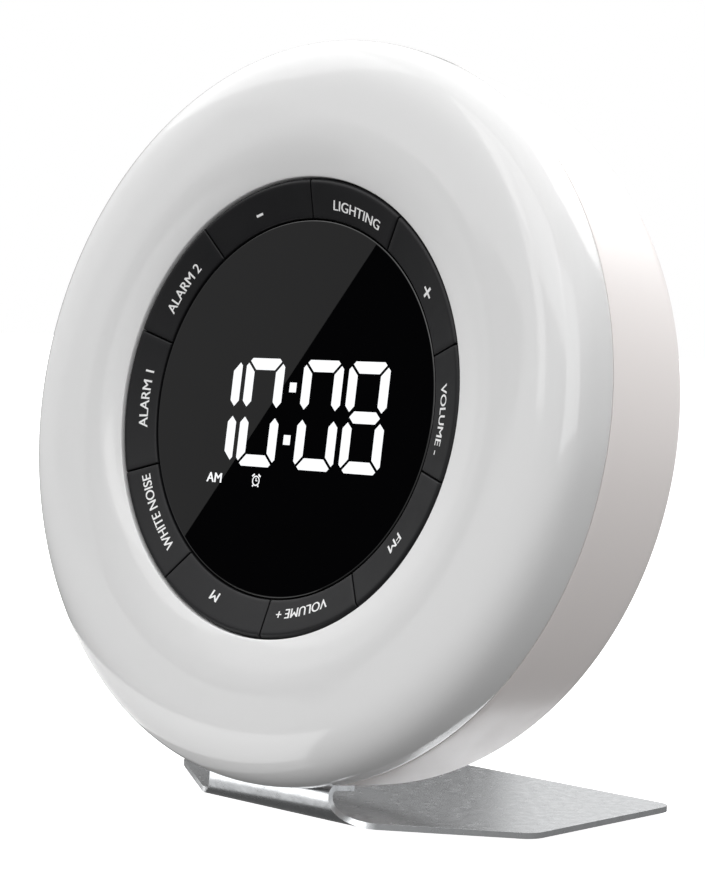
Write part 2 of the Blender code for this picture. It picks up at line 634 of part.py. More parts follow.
def stand_outline():
    """Stations along the sheet: (outer y, outer z, normal y, normal z, half width)."""
    plan = fillet([(0, FOOT_NECK), (FOOT_FLARE, FOOT_HALF), (FOOT_LENGTH, FOOT_HALF), (FOOT_LENGTH, 0)],
                  (6 * MM, 4 * MM), 5)[:-1]
    lower = FOOT_LOWER_BEND
    end = FLAP_LENGTH
    side = fillet([(end, foot_height(end)), (0, FOOT_RISE), (0, 0), (lower * 2, 0)],
                  (FOOT_UPPER_BEND, lower), 6)[:-1]

    def half_width(y):
        for one, two in zip(plan, plan[1:]):
            if one.x <= y <= two.x and two.x > one.x:
                return one.y + (two.y - one.y) * (y - one.x) / (two.x - one.x)
        return FOOT_NECK

    stations = []
    for i, point in enumerate(side):
        before, after = side[max(i - 1, 0)], side[min(i + 1, len(side) - 1)]
        run = (after - before).normalized()
        if i == len(side) - 1:
            run = Vector((1, 0))
        on_arc = i > len(side) - 8
        width = half_width(point.x) if on_arc else FOOT_NECK
        stations.append((point.x, point.y, run.y, -run.x, width))
    for point in plan[1:]:
        if point.x > lower + 0.1 * MM:
            stations.append((point.x, 0, 0, -1, point.y))
    return stations


def stand(look):
    """Bent aluminium sheet: flap under the housing, bend in front, flared plate on the table."""
    bm = bmesh.new()
    rows = []
    for y, z, ny, nz, half in stand_outline():
        inner = (y - ny * SHEET, z - nz * SHEET)
        rows.append([bm.verts.new(v) for v in ((-half, y, z), (half, y, z),
                                               (half, *inner), (-half, *inner))])
    for one, two in zip(rows, rows[1:]):
        for i in range(4):
            j = (i + 1) % 4
            bm.faces.new((one[i], one[j], two[j], two[i]))
    bm.faces.new(rows[0])
    bm.faces.new(rows[-1][::-1])
    return make("stand", bm, look, None, (0, HOUSING_Y + FOOT_FRONT, PAD_T))


def stand_holes(obj, housing):
    """Two screw holes through the flap."""
    bores = bmesh.new()
    for side in (-1, 1):
        add_post(bores, 1.65 * MM, -88 * MM, -82 * MM, (side * FOOT_SCREW_X, FOOT_SCREW_Y))
    boolean(obj, tool("stand_bores", bores, housing), "DIFFERENCE")


def pads(look):
    """Four thin rubber pads under the plate."""
    for y_name, (x, y) in zip(("front", "rear"), PAD_PLACES):
        for side, x_name in ((-1, "left"), (1, "right")):
            bm = add_post(bmesh.new(), 4.5 * MM, 0, PAD_T - 0.1 * MM, (0, 0), 16)
            make(f"pad_{y_name}_{x_name}", bm, look, None, (side * x, HOUSING_Y + FOOT_FRONT + y, 0))


# ---------------------------------------------------------------- assembly


def main():
    for obj in list(bpy.data.objects):
        bpy.data.objects.remove(obj, do_unlink=True)
    looks = {
        "milky": material("milky_plastic", "#E4E4E4", 0.22),
        "casing": material("white_casing", "#E2DEDC", 0.35),
        "white": material("white_plastic", "#F2F2F2", 0.5),
        "keys": material("black_keys", "#222223", 0.42),
        "lens": material("black_lens", "#0A0A0B", 0.06),
        "black": material("black_plastic", "#1A1A1A", 0.5),
        "silicone": material("grey_silicone", "#77797B", 0.7),
        "board": material("green_board", "#1F5A34", 0.45),
        "board_white": material("white_board", "#E9EAEC", 0.4),
        "steel": material("plated_steel", "#B9BBBD", 0.3, 1.0),
        "magnet": material("ferrite", "#3A3A3C", 0.6),
        "paper": material("black_paper_cone", "#26262A", 0.9),
        "aluminium": material("satin_aluminium", "#C3C5C7", 0.35, 1.0),
        "rubber": material("rubber", "#202020", 0.8),
    }
    housing = bpy.data.objects.new("housing", None)
    bpy.context.scene.collection.objects.link(housing)
    housing.location = (0, HOUSING_Y, AXIS_HEIGHT)
    housing.rotation_euler = (-TILT, 0, 0)

    front_shell(looks["milky"], housing)
    rear_casing(looks["casing"], housing)
    display_lens(looks["lens"], housing)
    keys(looks["keys"], housing)
    key_frame(looks["black"], housing)
    key_mat(looks["silicone"], housing)
    display_electronics(looks, housing)
    rear_electronics(looks, housing)
    screws(looks["steel"], housing)
    stand_holes(stand(looks["aluminium"]), housing)
    pads(looks["rubber"])
    bpy.context.view_layer.update()


main()
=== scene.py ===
"""Visible pieces and finishes of a round lamp clock radio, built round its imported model.

Every length is in metres. The housing leans back on its stand, so its pieces are worked
out in the housing's own frame (x to the viewer's right, y from the seam backwards, z up
along the face) and carried into place by housed().
"""

import json
import math

import bmesh
import bpy
import numpy as np
from bpy.props import FloatProperty, FloatVectorProperty, PointerProperty, StringProperty
from mathutils import Matrix, Vector


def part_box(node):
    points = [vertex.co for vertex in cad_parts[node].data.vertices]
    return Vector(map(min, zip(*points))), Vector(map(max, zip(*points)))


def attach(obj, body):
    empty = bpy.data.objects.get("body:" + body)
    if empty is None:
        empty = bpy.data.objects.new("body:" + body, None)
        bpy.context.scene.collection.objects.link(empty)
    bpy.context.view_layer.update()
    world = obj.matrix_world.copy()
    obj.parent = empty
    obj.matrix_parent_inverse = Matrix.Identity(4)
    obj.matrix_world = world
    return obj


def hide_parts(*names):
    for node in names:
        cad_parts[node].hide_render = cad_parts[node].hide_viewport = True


bl_info = {
    "name": "Lamp Clock Radio",
    "version": (1, 0, 0),
    "blender": (4, 5, 0),
    "location": "3D View > Sidebar > Clock",
    "description": "Builds the visible pieces of a round lamp clock radio round its packed model",
    "category": "Object",
}

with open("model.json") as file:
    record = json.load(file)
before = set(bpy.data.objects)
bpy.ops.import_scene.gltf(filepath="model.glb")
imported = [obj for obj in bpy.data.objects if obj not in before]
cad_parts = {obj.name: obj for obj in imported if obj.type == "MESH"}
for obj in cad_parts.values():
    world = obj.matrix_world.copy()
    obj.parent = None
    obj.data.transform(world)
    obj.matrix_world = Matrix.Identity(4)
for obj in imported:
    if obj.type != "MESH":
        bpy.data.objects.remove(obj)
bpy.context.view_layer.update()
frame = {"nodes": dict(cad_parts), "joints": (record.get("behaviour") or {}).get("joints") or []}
MM = 0.001
SCREW_ANGLES = (45, 135, 225, 315)

# The housing's frame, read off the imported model: the keys' joints give the lean,
# and the display lens gives the middle.
INWARD = np.array(frame["joints"][0]["axis"], float)
INWARD /= np.linalg.norm(INWARD)
TURN = np.array([[1, 0, 0], [0, INWARD[1], -INWARD[2]], [0, INWARD[2], INWARD[1]]])
LENS_MIDDLE = 6.7 * MM
LENS_LOW, LENS_HIGH = (np.array(corner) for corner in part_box("display_lens"))
ORIGIN = (LENS_LOW + LENS_HIGH) / 2 + INWARD * LENS_MIDDLE
KEY_BODIES = ("key_lighting", "key_plus", "key_volume_down", "key_fm", "key_volume_up",
              "key_mode", "key_white_noise", "key_alarm_1", "key_alarm_2", "key_minus")


def housed(points):
    """Points of the housing's frame carried to their place in the row frame."""
    return np.asarray(points, float) @ TURN.T + ORIGIN


def lean_back(mesh):
    """Carries a mesh that was drawn in the housing's frame to its place."""
    mesh.transform(Matrix.Translation(ORIGIN) @ Matrix(TURN.tolist()).to_4x4())


# ---------------------------------------------------------------- settings


def rgb(hex_code):
    """Linear RGB of an sRGB hex colour."""
    channels = [int(hex_code[i:i + 2], 16) / 255 for i in (1, 3, 5)]
    return [c / 12.92 if c <= 0.04045 else ((c + 0.055) / 1.055) ** 2.4 for c in channels]


def length(name, description, millimetres):
    """Setting for a length, shown in the scene's unit."""
    return FloatProperty(name=name, description=description, default=millimetres * MM,
                         unit="LENGTH", precision=5)


def angle(name, description, degrees):
    """Setting for an angle."""
    return FloatProperty(name=name, description=description, default=math.radians(degrees), subtype="ANGLE")


def colour_property(name, description, hex_code):
    """Setting for a colour, given as sRGB hex."""
    return FloatVectorProperty(name=name, description=description, default=rgb(hex_code),
                               subtype="COLOR", size=3, min=0, max=1)


class HousingSettings(bpy.types.PropertyGroup):
    """Sizes of the front shell, the rear casing and what is set into its back."""

    seam_radius: length("Seam radius", "Housing radius at the seam", 88.0)
    seam_gap: length("Seam gap", "Open joint between shell and casing", 0.3)
    wall: length("Wall", "Thickness of the moulded walls", 2.2)
    shell_depth: length("Shell depth", "From the seam to the crest of the shell", 13.3)
    crest_radius: length("Crest radius", "Radius of the shell's foremost circle", 68.0)
    shoulder_power: FloatProperty(name="Shoulder power", description="Squareness of the shell's shoulder",
                                  default=4.0)
    collar_back: length("Collar back", "Rear end of the collar round the keys", 4.5)
    casing_depth: length("Casing depth", "From the seam to the back wall", 32.0)
    casing_taper: length("Casing taper", "Loss of radius towards the back", 1.3)
    casing_shoulder: length("Casing shoulder", "Radius of the casing's rear edge", 8.0)
    speaker_height: length("Speaker height", "Speaker's axis above the middle", 32.0)
    battery_height: length("Battery height", "Battery door above the middle", -30.0)
    inlet_height: length("Inlet height", "Power socket above the middle", -60.0)
    screw_circle: length("Screw circle", "Radius of the casing screws' circle", 74.0)


class FaceSettings(bpy.types.PropertyGroup):
    """Sizes of the key ring, the display lens and what it shows."""

    ring_radius: length("Ring radius", "Outside of the key ring", 54.0)
    ring_front: length("Ring front", "Keys' outer edge in front of the seam", 10.9)
    key_inner: length("Inner radius", "Inside of the key ring", 45.0)
    key_sink: length("Sink", "How much deeper the keys' inner edge lies", 2.9)
    key_bevel: length("Outer bevel", "Radius of the keys' outer edge", 1.3)
    key_edge: length("Edge radius", "Radius of the keys' other edges", 0.3)
    key_back: length("Key back", "Rear face of the keys in front of the seam", 5.4)
    key_slit: length("Slit", "Slit between two keys and round them", 0.35)
    key_period: angle("Key pair", "Angle of a narrow and a wide key together", 72.0)
    key_narrow: angle("Narrow key", "Angle of the narrow key of a pair", 33.3)
    lens_front: length("Lens front", "Display lens in front of the seam", 7.7)
    legend_radius: length("Legend radius", "Middle of the keys' legends", 48.4)
    legend_height: length("Legend height", "Height of the legends' capitals", 2.25)
    digit_width: length("Digit width", "Width of one digit", 12.75)
    digit_height: length("Digit height", "Height of one digit", 25.8)
    digit_stroke: length("Digit stroke", "Width of one segment", 2.78)
    digit_turn: angle("Digit turn", "Display module's turn against the clock", 0.85)
    time: StringProperty(name="Time", description="Digits shown, with the colon", default="10:08")


class StandSettings(bpy.types.PropertyGroup):
    """Sizes of the bent sheet stand and its pads."""

    sheet: length("Sheet", "Thickness of the aluminium sheet", 1.45)
    neck: length("Neck", "Half width of flap and bend", 19.7)
    half: length("Half width", "Half width of the plate", 58.5)
    flare: length("Flare", "Where the oblique edges reach the full width", 27.6)
    length: length("Length", "Depth of the plate from the bend's front", 81.2)
    rise: length("Rise", "Height of the bend", 9.9)
    flap: length("Flap", "Depth of the flap under the housing", 8.8)
    upper_bend: length("Upper bend", "Outside radius of the bend below the flap", 2.4)
    lower_bend: length("Lower bend", "Outside radius of the bend above the table", 6.5)
    pad_radius: length("Pad radius", "Radius of a rubber pad", 4.5)


class ColourSettings(bpy.types.PropertyGroup):
    """Base colours of the finishes."""

    milky: colour_property("Milky shell", "Diffusing polycarbonate of the front shell", "#E6E6E6")
    casing: colour_property("Casing", "Warm white ABS of the rear casing", "#F3EDEB")
    keys: colour_property("Keys", "Black ABS of the keys", "#151517")
    ink: colour_property("Ink", "Pale ink of the legends", "#F4F4F4")
    sheet: colour_property("Sheet", "Aluminium of the stand", "#D6D8DA")
    floor: colour_property("Floor", "Pale floor", "#F4F4F4")


# ---------------------------------------------------------------- mesh helpers


def quads(rows, cols, wrap_rows=False, wrap_cols=True):
    """Faces of a grid of rows by cols points, each closed on itself where it wraps."""
    r = np.arange(rows if wrap_rows else rows - 1)
    c = np.arange(cols if wrap_cols else cols - 1)
    r0, c0 = (a.ravel() for a in np.meshgrid(r, c, indexing="ij"))
    r1, c1 = (r0 + 1) % rows, (c0 + 1) % cols
    return np.stack([r0 * cols + c0, r0 * cols + c1, r1 * cols + c1, r1 * cols + c0], 1).tolist()


def lathe(profile, steps, centre=(0, 0), closed=False):
    """Turned surface: profile point (radius, y) at angle a goes to (radius sin a, y, radius cos a)."""
    profile = np.asarray(profile, float)
    angle = np.linspace(0, 2 * np.pi, steps, endpoint=False)
    x = centre[0] + np.outer(profile[:, 0], np.sin(angle))
    z = centre[1] + np.outer(profile[:, 0], np.cos(angle))
    y = np.repeat(profile[:, 1:2], steps, axis=1)
    return np.stack([x, y, z], -1).reshape(-1, 3), quads(len(profile), steps, closed)


def prism(outline, y0, y1, edge=0.0, steps=3):
    """Solid between y0 and y1 over a closed outline (x, z), its rims rounded by the radius edge.

    Each ring is the outline moved inwards by edge (1 - sin t) while y moves by edge (1 - cos t).
    """
    outline = np.asarray(outline, float)
    run = np.roll(outline, -1, 0) - np.roll(outline, 1, 0)
    run /= np.linalg.norm(run, axis=1)[:, None]
    area = np.sum(outline[:, 0] * np.roll(outline[:, 1], -1) - outline[:, 1] * np.roll(outline[:, 0], -1))
    inward = np.stack([-run[:, 1], run[:, 0]], 1) * np.sign(area)
    t = np.linspace(0, np.pi / 2, steps + 1) if edge else np.array([np.pi / 2])
    inset = edge * (1 - np.sin(t))
    lift = edge * (1 - np.cos(t)) if edge else np.zeros(1)
    rings = [(y0 + up, move) for up, move in zip(lift, inset)]
    rings += [(y1 - up, move) for up, move in zip(lift[::-1], inset[::-1])]
    if edge:
        rings = [(y0, 1.4 * edge)] + rings + [(y1, 1.4 * edge)]
    points = []
    for y, move in rings:
        ring = outline + inward * move
        points.append(np.stack([ring[:, 0], np.full(len(ring), y), ring[:, 1]], 1))
    count = len(outline)
    faces = quads(len(rings), count)
    faces.append(list(range(count)))
    faces.append(list(range((len(rings) - 1) * count, len(rings) * count)))
    return np.concatenate(points), faces


def rounded_box(half_x, half_z, radius, centre=(0, 0), steps=6):
    """Outline of a rectangle with round corners, as four quarter circles."""
    points = []
    for k, (sx, sz) in enumerate(((1, 1), (-1, 1), (-1, -1), (1, -1))):
        a = np.linspace(0, np.pi / 2, steps + 1) + k * np.pi / 2
        points.append(np.stack([centre[0] + sx * (half_x - radius) + radius * np.cos(a),
                                centre[1] + sz * (half_z - radius) + radius * np.sin(a)], 1))
    return np.concatenate(points)


def fillet(corners, radii, steps):
    """Open polyline whose inner corners are rounded by arcs that touch both sides."""
    corners = [np.array(c, float) for c in corners]
    path = [corners[0]]
    for before, corner, after, radius in zip(corners, corners[1:], corners[2:], radii):
        back = (before - corner) / np.linalg.norm(before - corner)
        ahead = (after - corner) / np.linalg.norm(after - corner)
        half = math.acos(float(np.clip(back @ ahead, -1, 1))) / 2
        middle = (back + ahead) / np.linalg.norm(back + ahead)
        centre = corner + middle * radius / math.sin(half)
        start = corner + back * radius / math.tan(half) - centre
        end = corner + ahead * radius / math.tan(half) - centre
        sweep = math.atan2(start[0] * end[1] - start[1] * end[0], float(start @ end))
        for t in np.linspace(0, sweep, steps + 1):
            turn = np.array([[math.cos(t), -math.sin(t)], [math.sin(t), math.cos(t)]])
            path.append(centre + turn @ start)
    path.append(corners[-1])
    return np.array(path)


def offset(line, distance):
    """Polyline moved to its left by distance, at right angles to its run."""
    run = np.gradient(line, axis=0)
    run /= np.linalg.norm(run, axis=1)[:, None]
    return line + np.stack([-run[:, 1], run[:, 0]], 1) * distance


def on_circle(radius, degrees):
    """(x, z) at an angle counted clockwise from the top."""
    return radius * math.sin(math.radians(degrees)), radius * math.cos(math.radians(degrees))


def make_mesh(name, points, faces):
    """Closed mesh with doubles merged and its faces pointing outwards."""
    mesh = bpy.data.meshes.new(name)
    mesh.from_pydata(np.asarray(points).tolist(), [], faces)
    bm = bmesh.new()
    bm.from_mesh(mesh)
    bmesh.ops.remove_doubles(bm, verts=bm.verts, dist=1e-7)
    bmesh.ops.recalc_face_normals(bm, faces=bm.faces)
    bm.to_mesh(mesh)
    bm.free()
    return mesh


def join(shapes):
    """Several (points, faces) shapes as one."""
    points, faces, base = [], [], 0
    for some_points, some_faces in shapes:
        points.append(np.asarray(some_points, float))
        faces += [[base + i for i in face] for face in some_faces]
        base += len(some_points)
    return np.concatenate(points), faces


def carved(mesh, shapes, operation="DIFFERENCE"):
    """The mesh after a Boolean with each group of shapes, as a new mesh."""
    for shape in shapes:
        base = bpy.data.objects.new("base", mesh)
        tool = bpy.data.objects.new("tool", make_mesh("tool", *shape))
        for obj in (base, tool):
            bpy.context.scene.collection.objects.link(obj)
        mod = base.modifiers.new("carve", "BOOLEAN")
        mod.object, mod.operation, mod.solver = tool, operation, "EXACT"
        graph = bpy.context.evaluated_depsgraph_get()
        mesh = bpy.data.meshes.new_from_object(base.evaluated_get(graph))
        bpy.data.objects.remove(base)
        bpy.data.objects.remove(tool)
    return mesh


def show(name, mesh, material, body, replaced=(), smooth=32):
    """Links a finished mesh as a piece that rides on a body and stands for CAD nodes."""
    mesh.name = name
    mesh.shade_smooth()
    mesh.set_sharp_from_angle(angle=math.radians(smooth))
    mesh.materials.clear()
    mesh.materials.append(material)
    piece = bpy.data.objects.new(name, mesh)
    bpy.context.scene.collection.objects.link(piece)
    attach(piece, body)
    if replaced:
        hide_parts(*replaced)
    return piece


# ---------------------------------------------------------------- finishes


def add_node(tree, kind, values=None, **settings):
    """Adds a node; values maps input names or numbers to constants or to earlier outputs."""
    node = tree.nodes.new(kind)
    for key, value in settings.items():
        setattr(node, key, value)
    for socket, value in (values or {}).items():
        if isinstance(value, bpy.types.NodeSocket):
            tree.links.new(value, node.inputs[socket])
        else:
            node.inputs[socket].default_value = value
    return node


def noise_of(tree, size, detail, stretch=(1, 1, 1)):
    """Noise in the piece's own space with grains of the given size in metres, as an output."""
    place = add_node(tree, "ShaderNodeTexCoord")
    scaled = add_node(tree, "ShaderNodeMapping", {"Vector": place.outputs["Object"], "Scale": stretch})
    noise = add_node(tree, "ShaderNodeTexNoise",
                     {"Vector": scaled.outputs["Vector"], "Scale": 1 / size, "Detail": detail})
    return noise.outputs["Fac"]


def spread(tree, noise, low=0.0, high=1.0):
    """The noise's middle range, 0.3 to 0.7, spread over low to high."""
    ranged = add_node(tree, "ShaderNodeMapRange",
                      {"Value": noise, "From Min": 0.3, "From Max": 0.7, "To Min": low, "To Max": high})
    return ranged.outputs["Result"]


def tint(tree, shader, size, other, detail=4.0):
    """Wanders between the base colour and another one over patches of the given size."""
    base = shader.inputs["Base Color"]
    mixed = add_node(tree, "ShaderNodeMix", data_type="RGBA", values={
        "Factor": spread(tree, noise_of(tree, size, detail)), "A": tuple(base.default_value),
        "B": (*other, 1)})
    tree.links.new(mixed.outputs["Result"], base)


def vary(tree, shader, socket, size, low, high, detail=4.0):
    """Varies a number input between low and high over patches of the given size."""
    tree.links.new(spread(tree, noise_of(tree, size, detail), low, high), shader.inputs[socket])


def grain(tree, shader, size, height, detail=3.0, stretch=(1, 1, 1)):
    """Bump of a noise whose grain has the given size and height in metres."""
    bump = add_node(tree, "ShaderNodeBump", {"Height": noise_of(tree, size, detail, stretch),
                                             "Strength": 1.0, "Distance": height})
    tree.links.new(bump.outputs["Normal"], shader.inputs["Normal"])


def finish(name, colour, roughness, tones=None, patches=None, bump=None, **values):
    """A material with a Principled shader, made once.

    Its tones, patches and bump are what tint, vary and grain take after the shader; any other
    value is set on the shader's own input of that name.
    """
    material = bpy.data.materials.get(name)
    if material:
        return material
    material = bpy.data.materials.new(name)
    material.use_nodes = True
    tree = material.node_tree
    shader = tree.nodes["Principled BSDF"]
    values.update(Base_Color=(*colour, 1), Roughness=roughness)
    for key, value in values.items():
        shader.inputs[key.replace("_", " ")].default_value = value
    for work, details in ((tint, tones), (vary, patches), (grain, bump)):
        if details:
            work(tree, shader, *details)
    return material


def darker(colour, factor):
    """Linear colour with all channels scaled by a factor."""
    return [c * factor for c in colour]


def milky_polycarbonate():
    """Diffusing polycarbonate, injection moulded and high-gloss: light sinks a few millimetres in,
    which softens its shading, and the polished skin mirrors the softboxes with a faint waviness."""
    return finish("milky polycarbonate, polished", bpy.context.scene.clock_colours.milky, 0.08,
                  patches=("Roughness", 12 * MM, 0.07, 0.10), bump=(9 * MM, 0.006 * MM, 1.0), IOR=1.58,
                  Subsurface_Weight=0.25, Subsurface_Scale=0.006, Subsurface_Radius=(1.0, 1.0, 1.0))


def white_abs():
    """Warm white ABS, moulded with a fine satin spark texture: even colour, soft sheen."""
    return finish("white ABS, satin moulded", bpy.context.scene.clock_colours.casing, 0.34,
                  patches=("Roughness", 8 * MM, 0.30, 0.38), bump=(0.35 * MM, 0.008 * MM, 2.0), IOR=1.54)


def black_abs():
    """Black ABS of the keys, moulded with a fine matt texture that scatters the highlights."""
    return finish("black ABS, fine matt", bpy.context.scene.clock_colours.keys, 0.42,
                  patches=("Roughness", 6 * MM, 0.38, 0.48), bump=(0.25 * MM, 0.012 * MM, 2.0), IOR=1.54,
                  Specular_IOR_Level=0.18)


def smoked_acrylic():
    """Cast acrylic, smoked nearly black and polished: a hard mirror over a dead black."""
    return finish("smoked acrylic, polished", rgb("#050506"), 0.006,
                  patches=("Roughness", 15 * MM, 0.003, 0.010), IOR=1.49)


def lit_segments():
    """White LED segments behind the lens: an even cool-white glow."""
    return finish("lit LED segment", rgb("#202020"), 0.5, Emission_Color=(0.97, 0.985, 1.0, 1),
                  patches=("Emission Strength", 2.5 * MM, 0.98, 1.08), Emission_Strength=1.0)


def screen_ink():
    """Screen-printed pale ink: matt, a little thin where the squeegee lifted."""
    colour = bpy.context.scene.clock_colours.ink
    return finish("screen-printed ink", colour, 0.55, tones=(0.5 * MM, darker(colour, 0.88)))


def satin_aluminium():
    """Aluminium sheet, brushed across the bend and satin anodised: soft streaked mirror with
    cloudy patches where the etch took differently."""
    colour = bpy.context.scene.clock_colours.sheet
    return finish("satin anodised aluminium sheet", colour, 0.3, tones=(2.5 * MM, darker(colour, 0.80), 1.5),
                  patches=("Roughness", 2.5 * MM, 0.20, 0.28, 2.0),
                  bump=(0.6 * MM, 0.0004 * MM, 1.0, (0.04, 1, 1)), Metallic=1.0)


def soft_rubber():
    """Moulded black rubber: deep matt with a dusty unevenness."""
    return finish("moulded rubber", rgb("#1C1C1C"), 0.85, tones=(1.5 * MM, rgb("#262625")),
                  bump=(0.3 * MM, 0.02 * MM))


def zinc_steel():
    """Steel, zinc plated: bright grey with faint spangles."""
    return finish("zinc-plated steel", rgb("#BFC1C3"), 0.3, patches=("Roughness", 0.8 * MM, 0.22, 0.4),
                  bump=(0.4 * MM, 0.006 * MM), Metallic=1.0)


def black_nylon():
    """Black glass-filled nylon of the hidden frames: matt with a faint flow pattern."""
    return finish("black nylon", rgb("#141415"), 0.6, patches=("Roughness", 4 * MM, 0.5, 0.7),
                  bump=(0.3 * MM, 0.02 * MM))


def silicone():
    """Grey silicone of the key mat: matt and slightly cloudy."""
    return finish("grey silicone", rgb("#85878A"), 0.7, tones=(6 * MM, rgb("#797B7E")))


def board(name, hex_code):
    """Glass-fibre circuit board under solder mask: smooth, with the weave and tracks showing faintly."""
    return finish(name, rgb(hex_code), 0.4, tones=(1.2 * MM, darker(rgb(hex_code), 0.75), 2.0),
                  bump=(0.6 * MM, 0.02 * MM))


def white_reflector():
    """Matt white polystyrene of the lamp's reflector: bright and even."""
    return finish("matt white polystyrene", rgb("#F1F1F1"), 0.6, bump=(0.4 * MM, 0.01 * MM))


def speaker_paper():
    """Pressed black paper of the speaker cone: felted fibres, no gloss."""
    return finish("pressed paper cone", rgb("#242426"), 0.95, tones=(0.7 * MM, rgb("#303032")),
                  bump=(0.5 * MM, 0.05 * MM))


def ferrite():
    """Sintered ferrite and painted pot of the speaker magnet: dark grey, grainy."""
    return finish("ferrite magnet", rgb("#3A3A3C"), 0.6, bump=(0.5 * MM, 0.03 * MM), Metallic=0.3)


def pale_floor():
    """Matt pale opal studio floor, lit from below until it meets the white around it."""
    colour = bpy.context.scene.clock_colours.floor
    return finish("matt opal studio floor", colour, 0.9, tones=(0.4, darker(colour, 0.985), 2.0),
                  Specular_IOR_Level=0.0, Emission_Strength=1.0, Emission_Color=(1, 1, 1, 1))


# ---------------------------------------------------------------- shapes of the housing


def shell_outer(sizes, face):
    """Front shell's outer line (radius, y) from the seam to the edge of the key ring.

    Shoulder: |u/a|^n + |v/b|^n = 1 in polar form, a the width and b the depth of the shoulder.
    Inner slope: the parabola y = depth - fall t^2 from the crest to the key ring.
    """
    wide, deep, power = sizes.seam_radius - sizes.crest_radius, sizes.shell_depth, sizes.shoulder_power
    a = np.linspace(0, np.pi / 2, 73)
    reach = (np.abs(np.cos(a) / wide) ** power + np.abs(np.sin(a) / deep) ** power) ** (-1 / power)
    shoulder = np.stack([sizes.crest_radius + reach * np.cos(a), -reach * np.sin(a)], 1)
    start = sizes.seam_gap / 2
    shoulder = shoulder[shoulder[:, 1] < -start]
    seam = fillet([(sizes.seam_radius - 0.8 * MM, -start), (sizes.seam_radius, -start), shoulder[2]],
                  [0.12 * MM], 3)[:-1]
    t = np.linspace(0, 1, 33)[1:]
    lip = face.ring_radius + face.key_slit
    fall = sizes.shell_depth - face.ring_front
    slope = np.stack([sizes.crest_radius + (lip - sizes.crest_radius) * t,
                      -(sizes.shell_depth - fall * t * t)], 1)
    return np.concatenate([seam, shoulder[2:], slope])


def shell_profile(sizes, face):
    """Closed outline of the front shell's wall: outer line, collar round the keys, inner line."""
    outer = shell_outer(sizes, face)
    lip = face.ring_radius + face.key_slit
    collar = lip + 1.8 * MM
    edge = 0.35 * MM
    body = outer[outer[:, 0] > lip + 1.2 * edge]
    rim = fillet([body[-1], (lip, -face.ring_front), (lip, -sizes.collar_back)], [edge], 5)[1:]
    inner = offset(outer, -sizes.wall)
    inner = inner[(inner[:, 0] > collar + 1.5 * MM) & (inner[:, 0] < sizes.seam_radius - sizes.wall)]
    inner = inner[inner[:, 1] < -1.0 * MM]
    bottom = [(sizes.seam_radius - sizes.wall, -sizes.seam_gap / 2)]
    foot = [(collar, -sizes.collar_back), (collar, inner[-1, 1] + 0.2 * MM)]
    return np.concatenate([body, rim, foot, inner[::-1], bottom])


def casing_profile(sizes):
    """Outline of the rear casing's wall from the inside of the back over the rim to the outside."""
    side, turn = sizes.seam_radius - sizes.casing_taper, sizes.casing_depth - sizes.casing_shoulder
    start = sizes.seam_gap / 2
    a = np.linspace(0, np.pi / 2, 17)
    radius = sizes.casing_shoulder
    edge = fillet([(sizes.seam_radius - 0.8 * MM, start), (sizes.seam_radius, start),
                   (sizes.seam_radius - 0.1 * MM, 4 * MM)], [0.15 * MM], 3)[1:-1]
    t = np.linspace(0, 1, 12)[1:]
    wall = np.stack([sizes.seam_radius - sizes.casing_taper * t ** 1.2, start + (turn - start) * t], 1)
    bend = np.stack([side - radius * (1 - np.cos(a)), turn + radius * np.sin(a)], 1)[1:]
    outer = np.concatenate([edge, wall, bend, [(60 * MM, sizes.casing_depth), (0, sizes.casing_depth)]])
    inner = offset(outer, sizes.wall)
    inner = inner[inner[:, 1] > 3.5 * MM]
    inner[-1] = (0, sizes.casing_depth - sizes.wall)
    lip = sizes.seam_radius - sizes.wall
    tongue = [(lip - 1.8 * MM, 3.0 * MM), (lip - 1.8 * MM, -2.0 * MM), (lip - 0.3 * MM, -2.0 * MM),
              (lip - 0.3 * MM, start)]
    return np.concatenate([inner[::-1], tongue, outer])


class CLOCK_OT_front_shell(bpy.types.Operator):
    """Builds the milky front shell"""

    bl_idname = "clock.front_shell"
    bl_label = "Front shell"

    def execute(self, context):
        sizes, face = context.scene.clock_housing, context.scene.clock_face
        points, faces = lathe(shell_profile(sizes, face), 256, closed=True)
        mesh = make_mesh("front shell", housed(points), faces)
        show("front_shell_milky", mesh, milky_polycarbonate(), "clock", ["front_shell"])
        return {"FINISHED"}


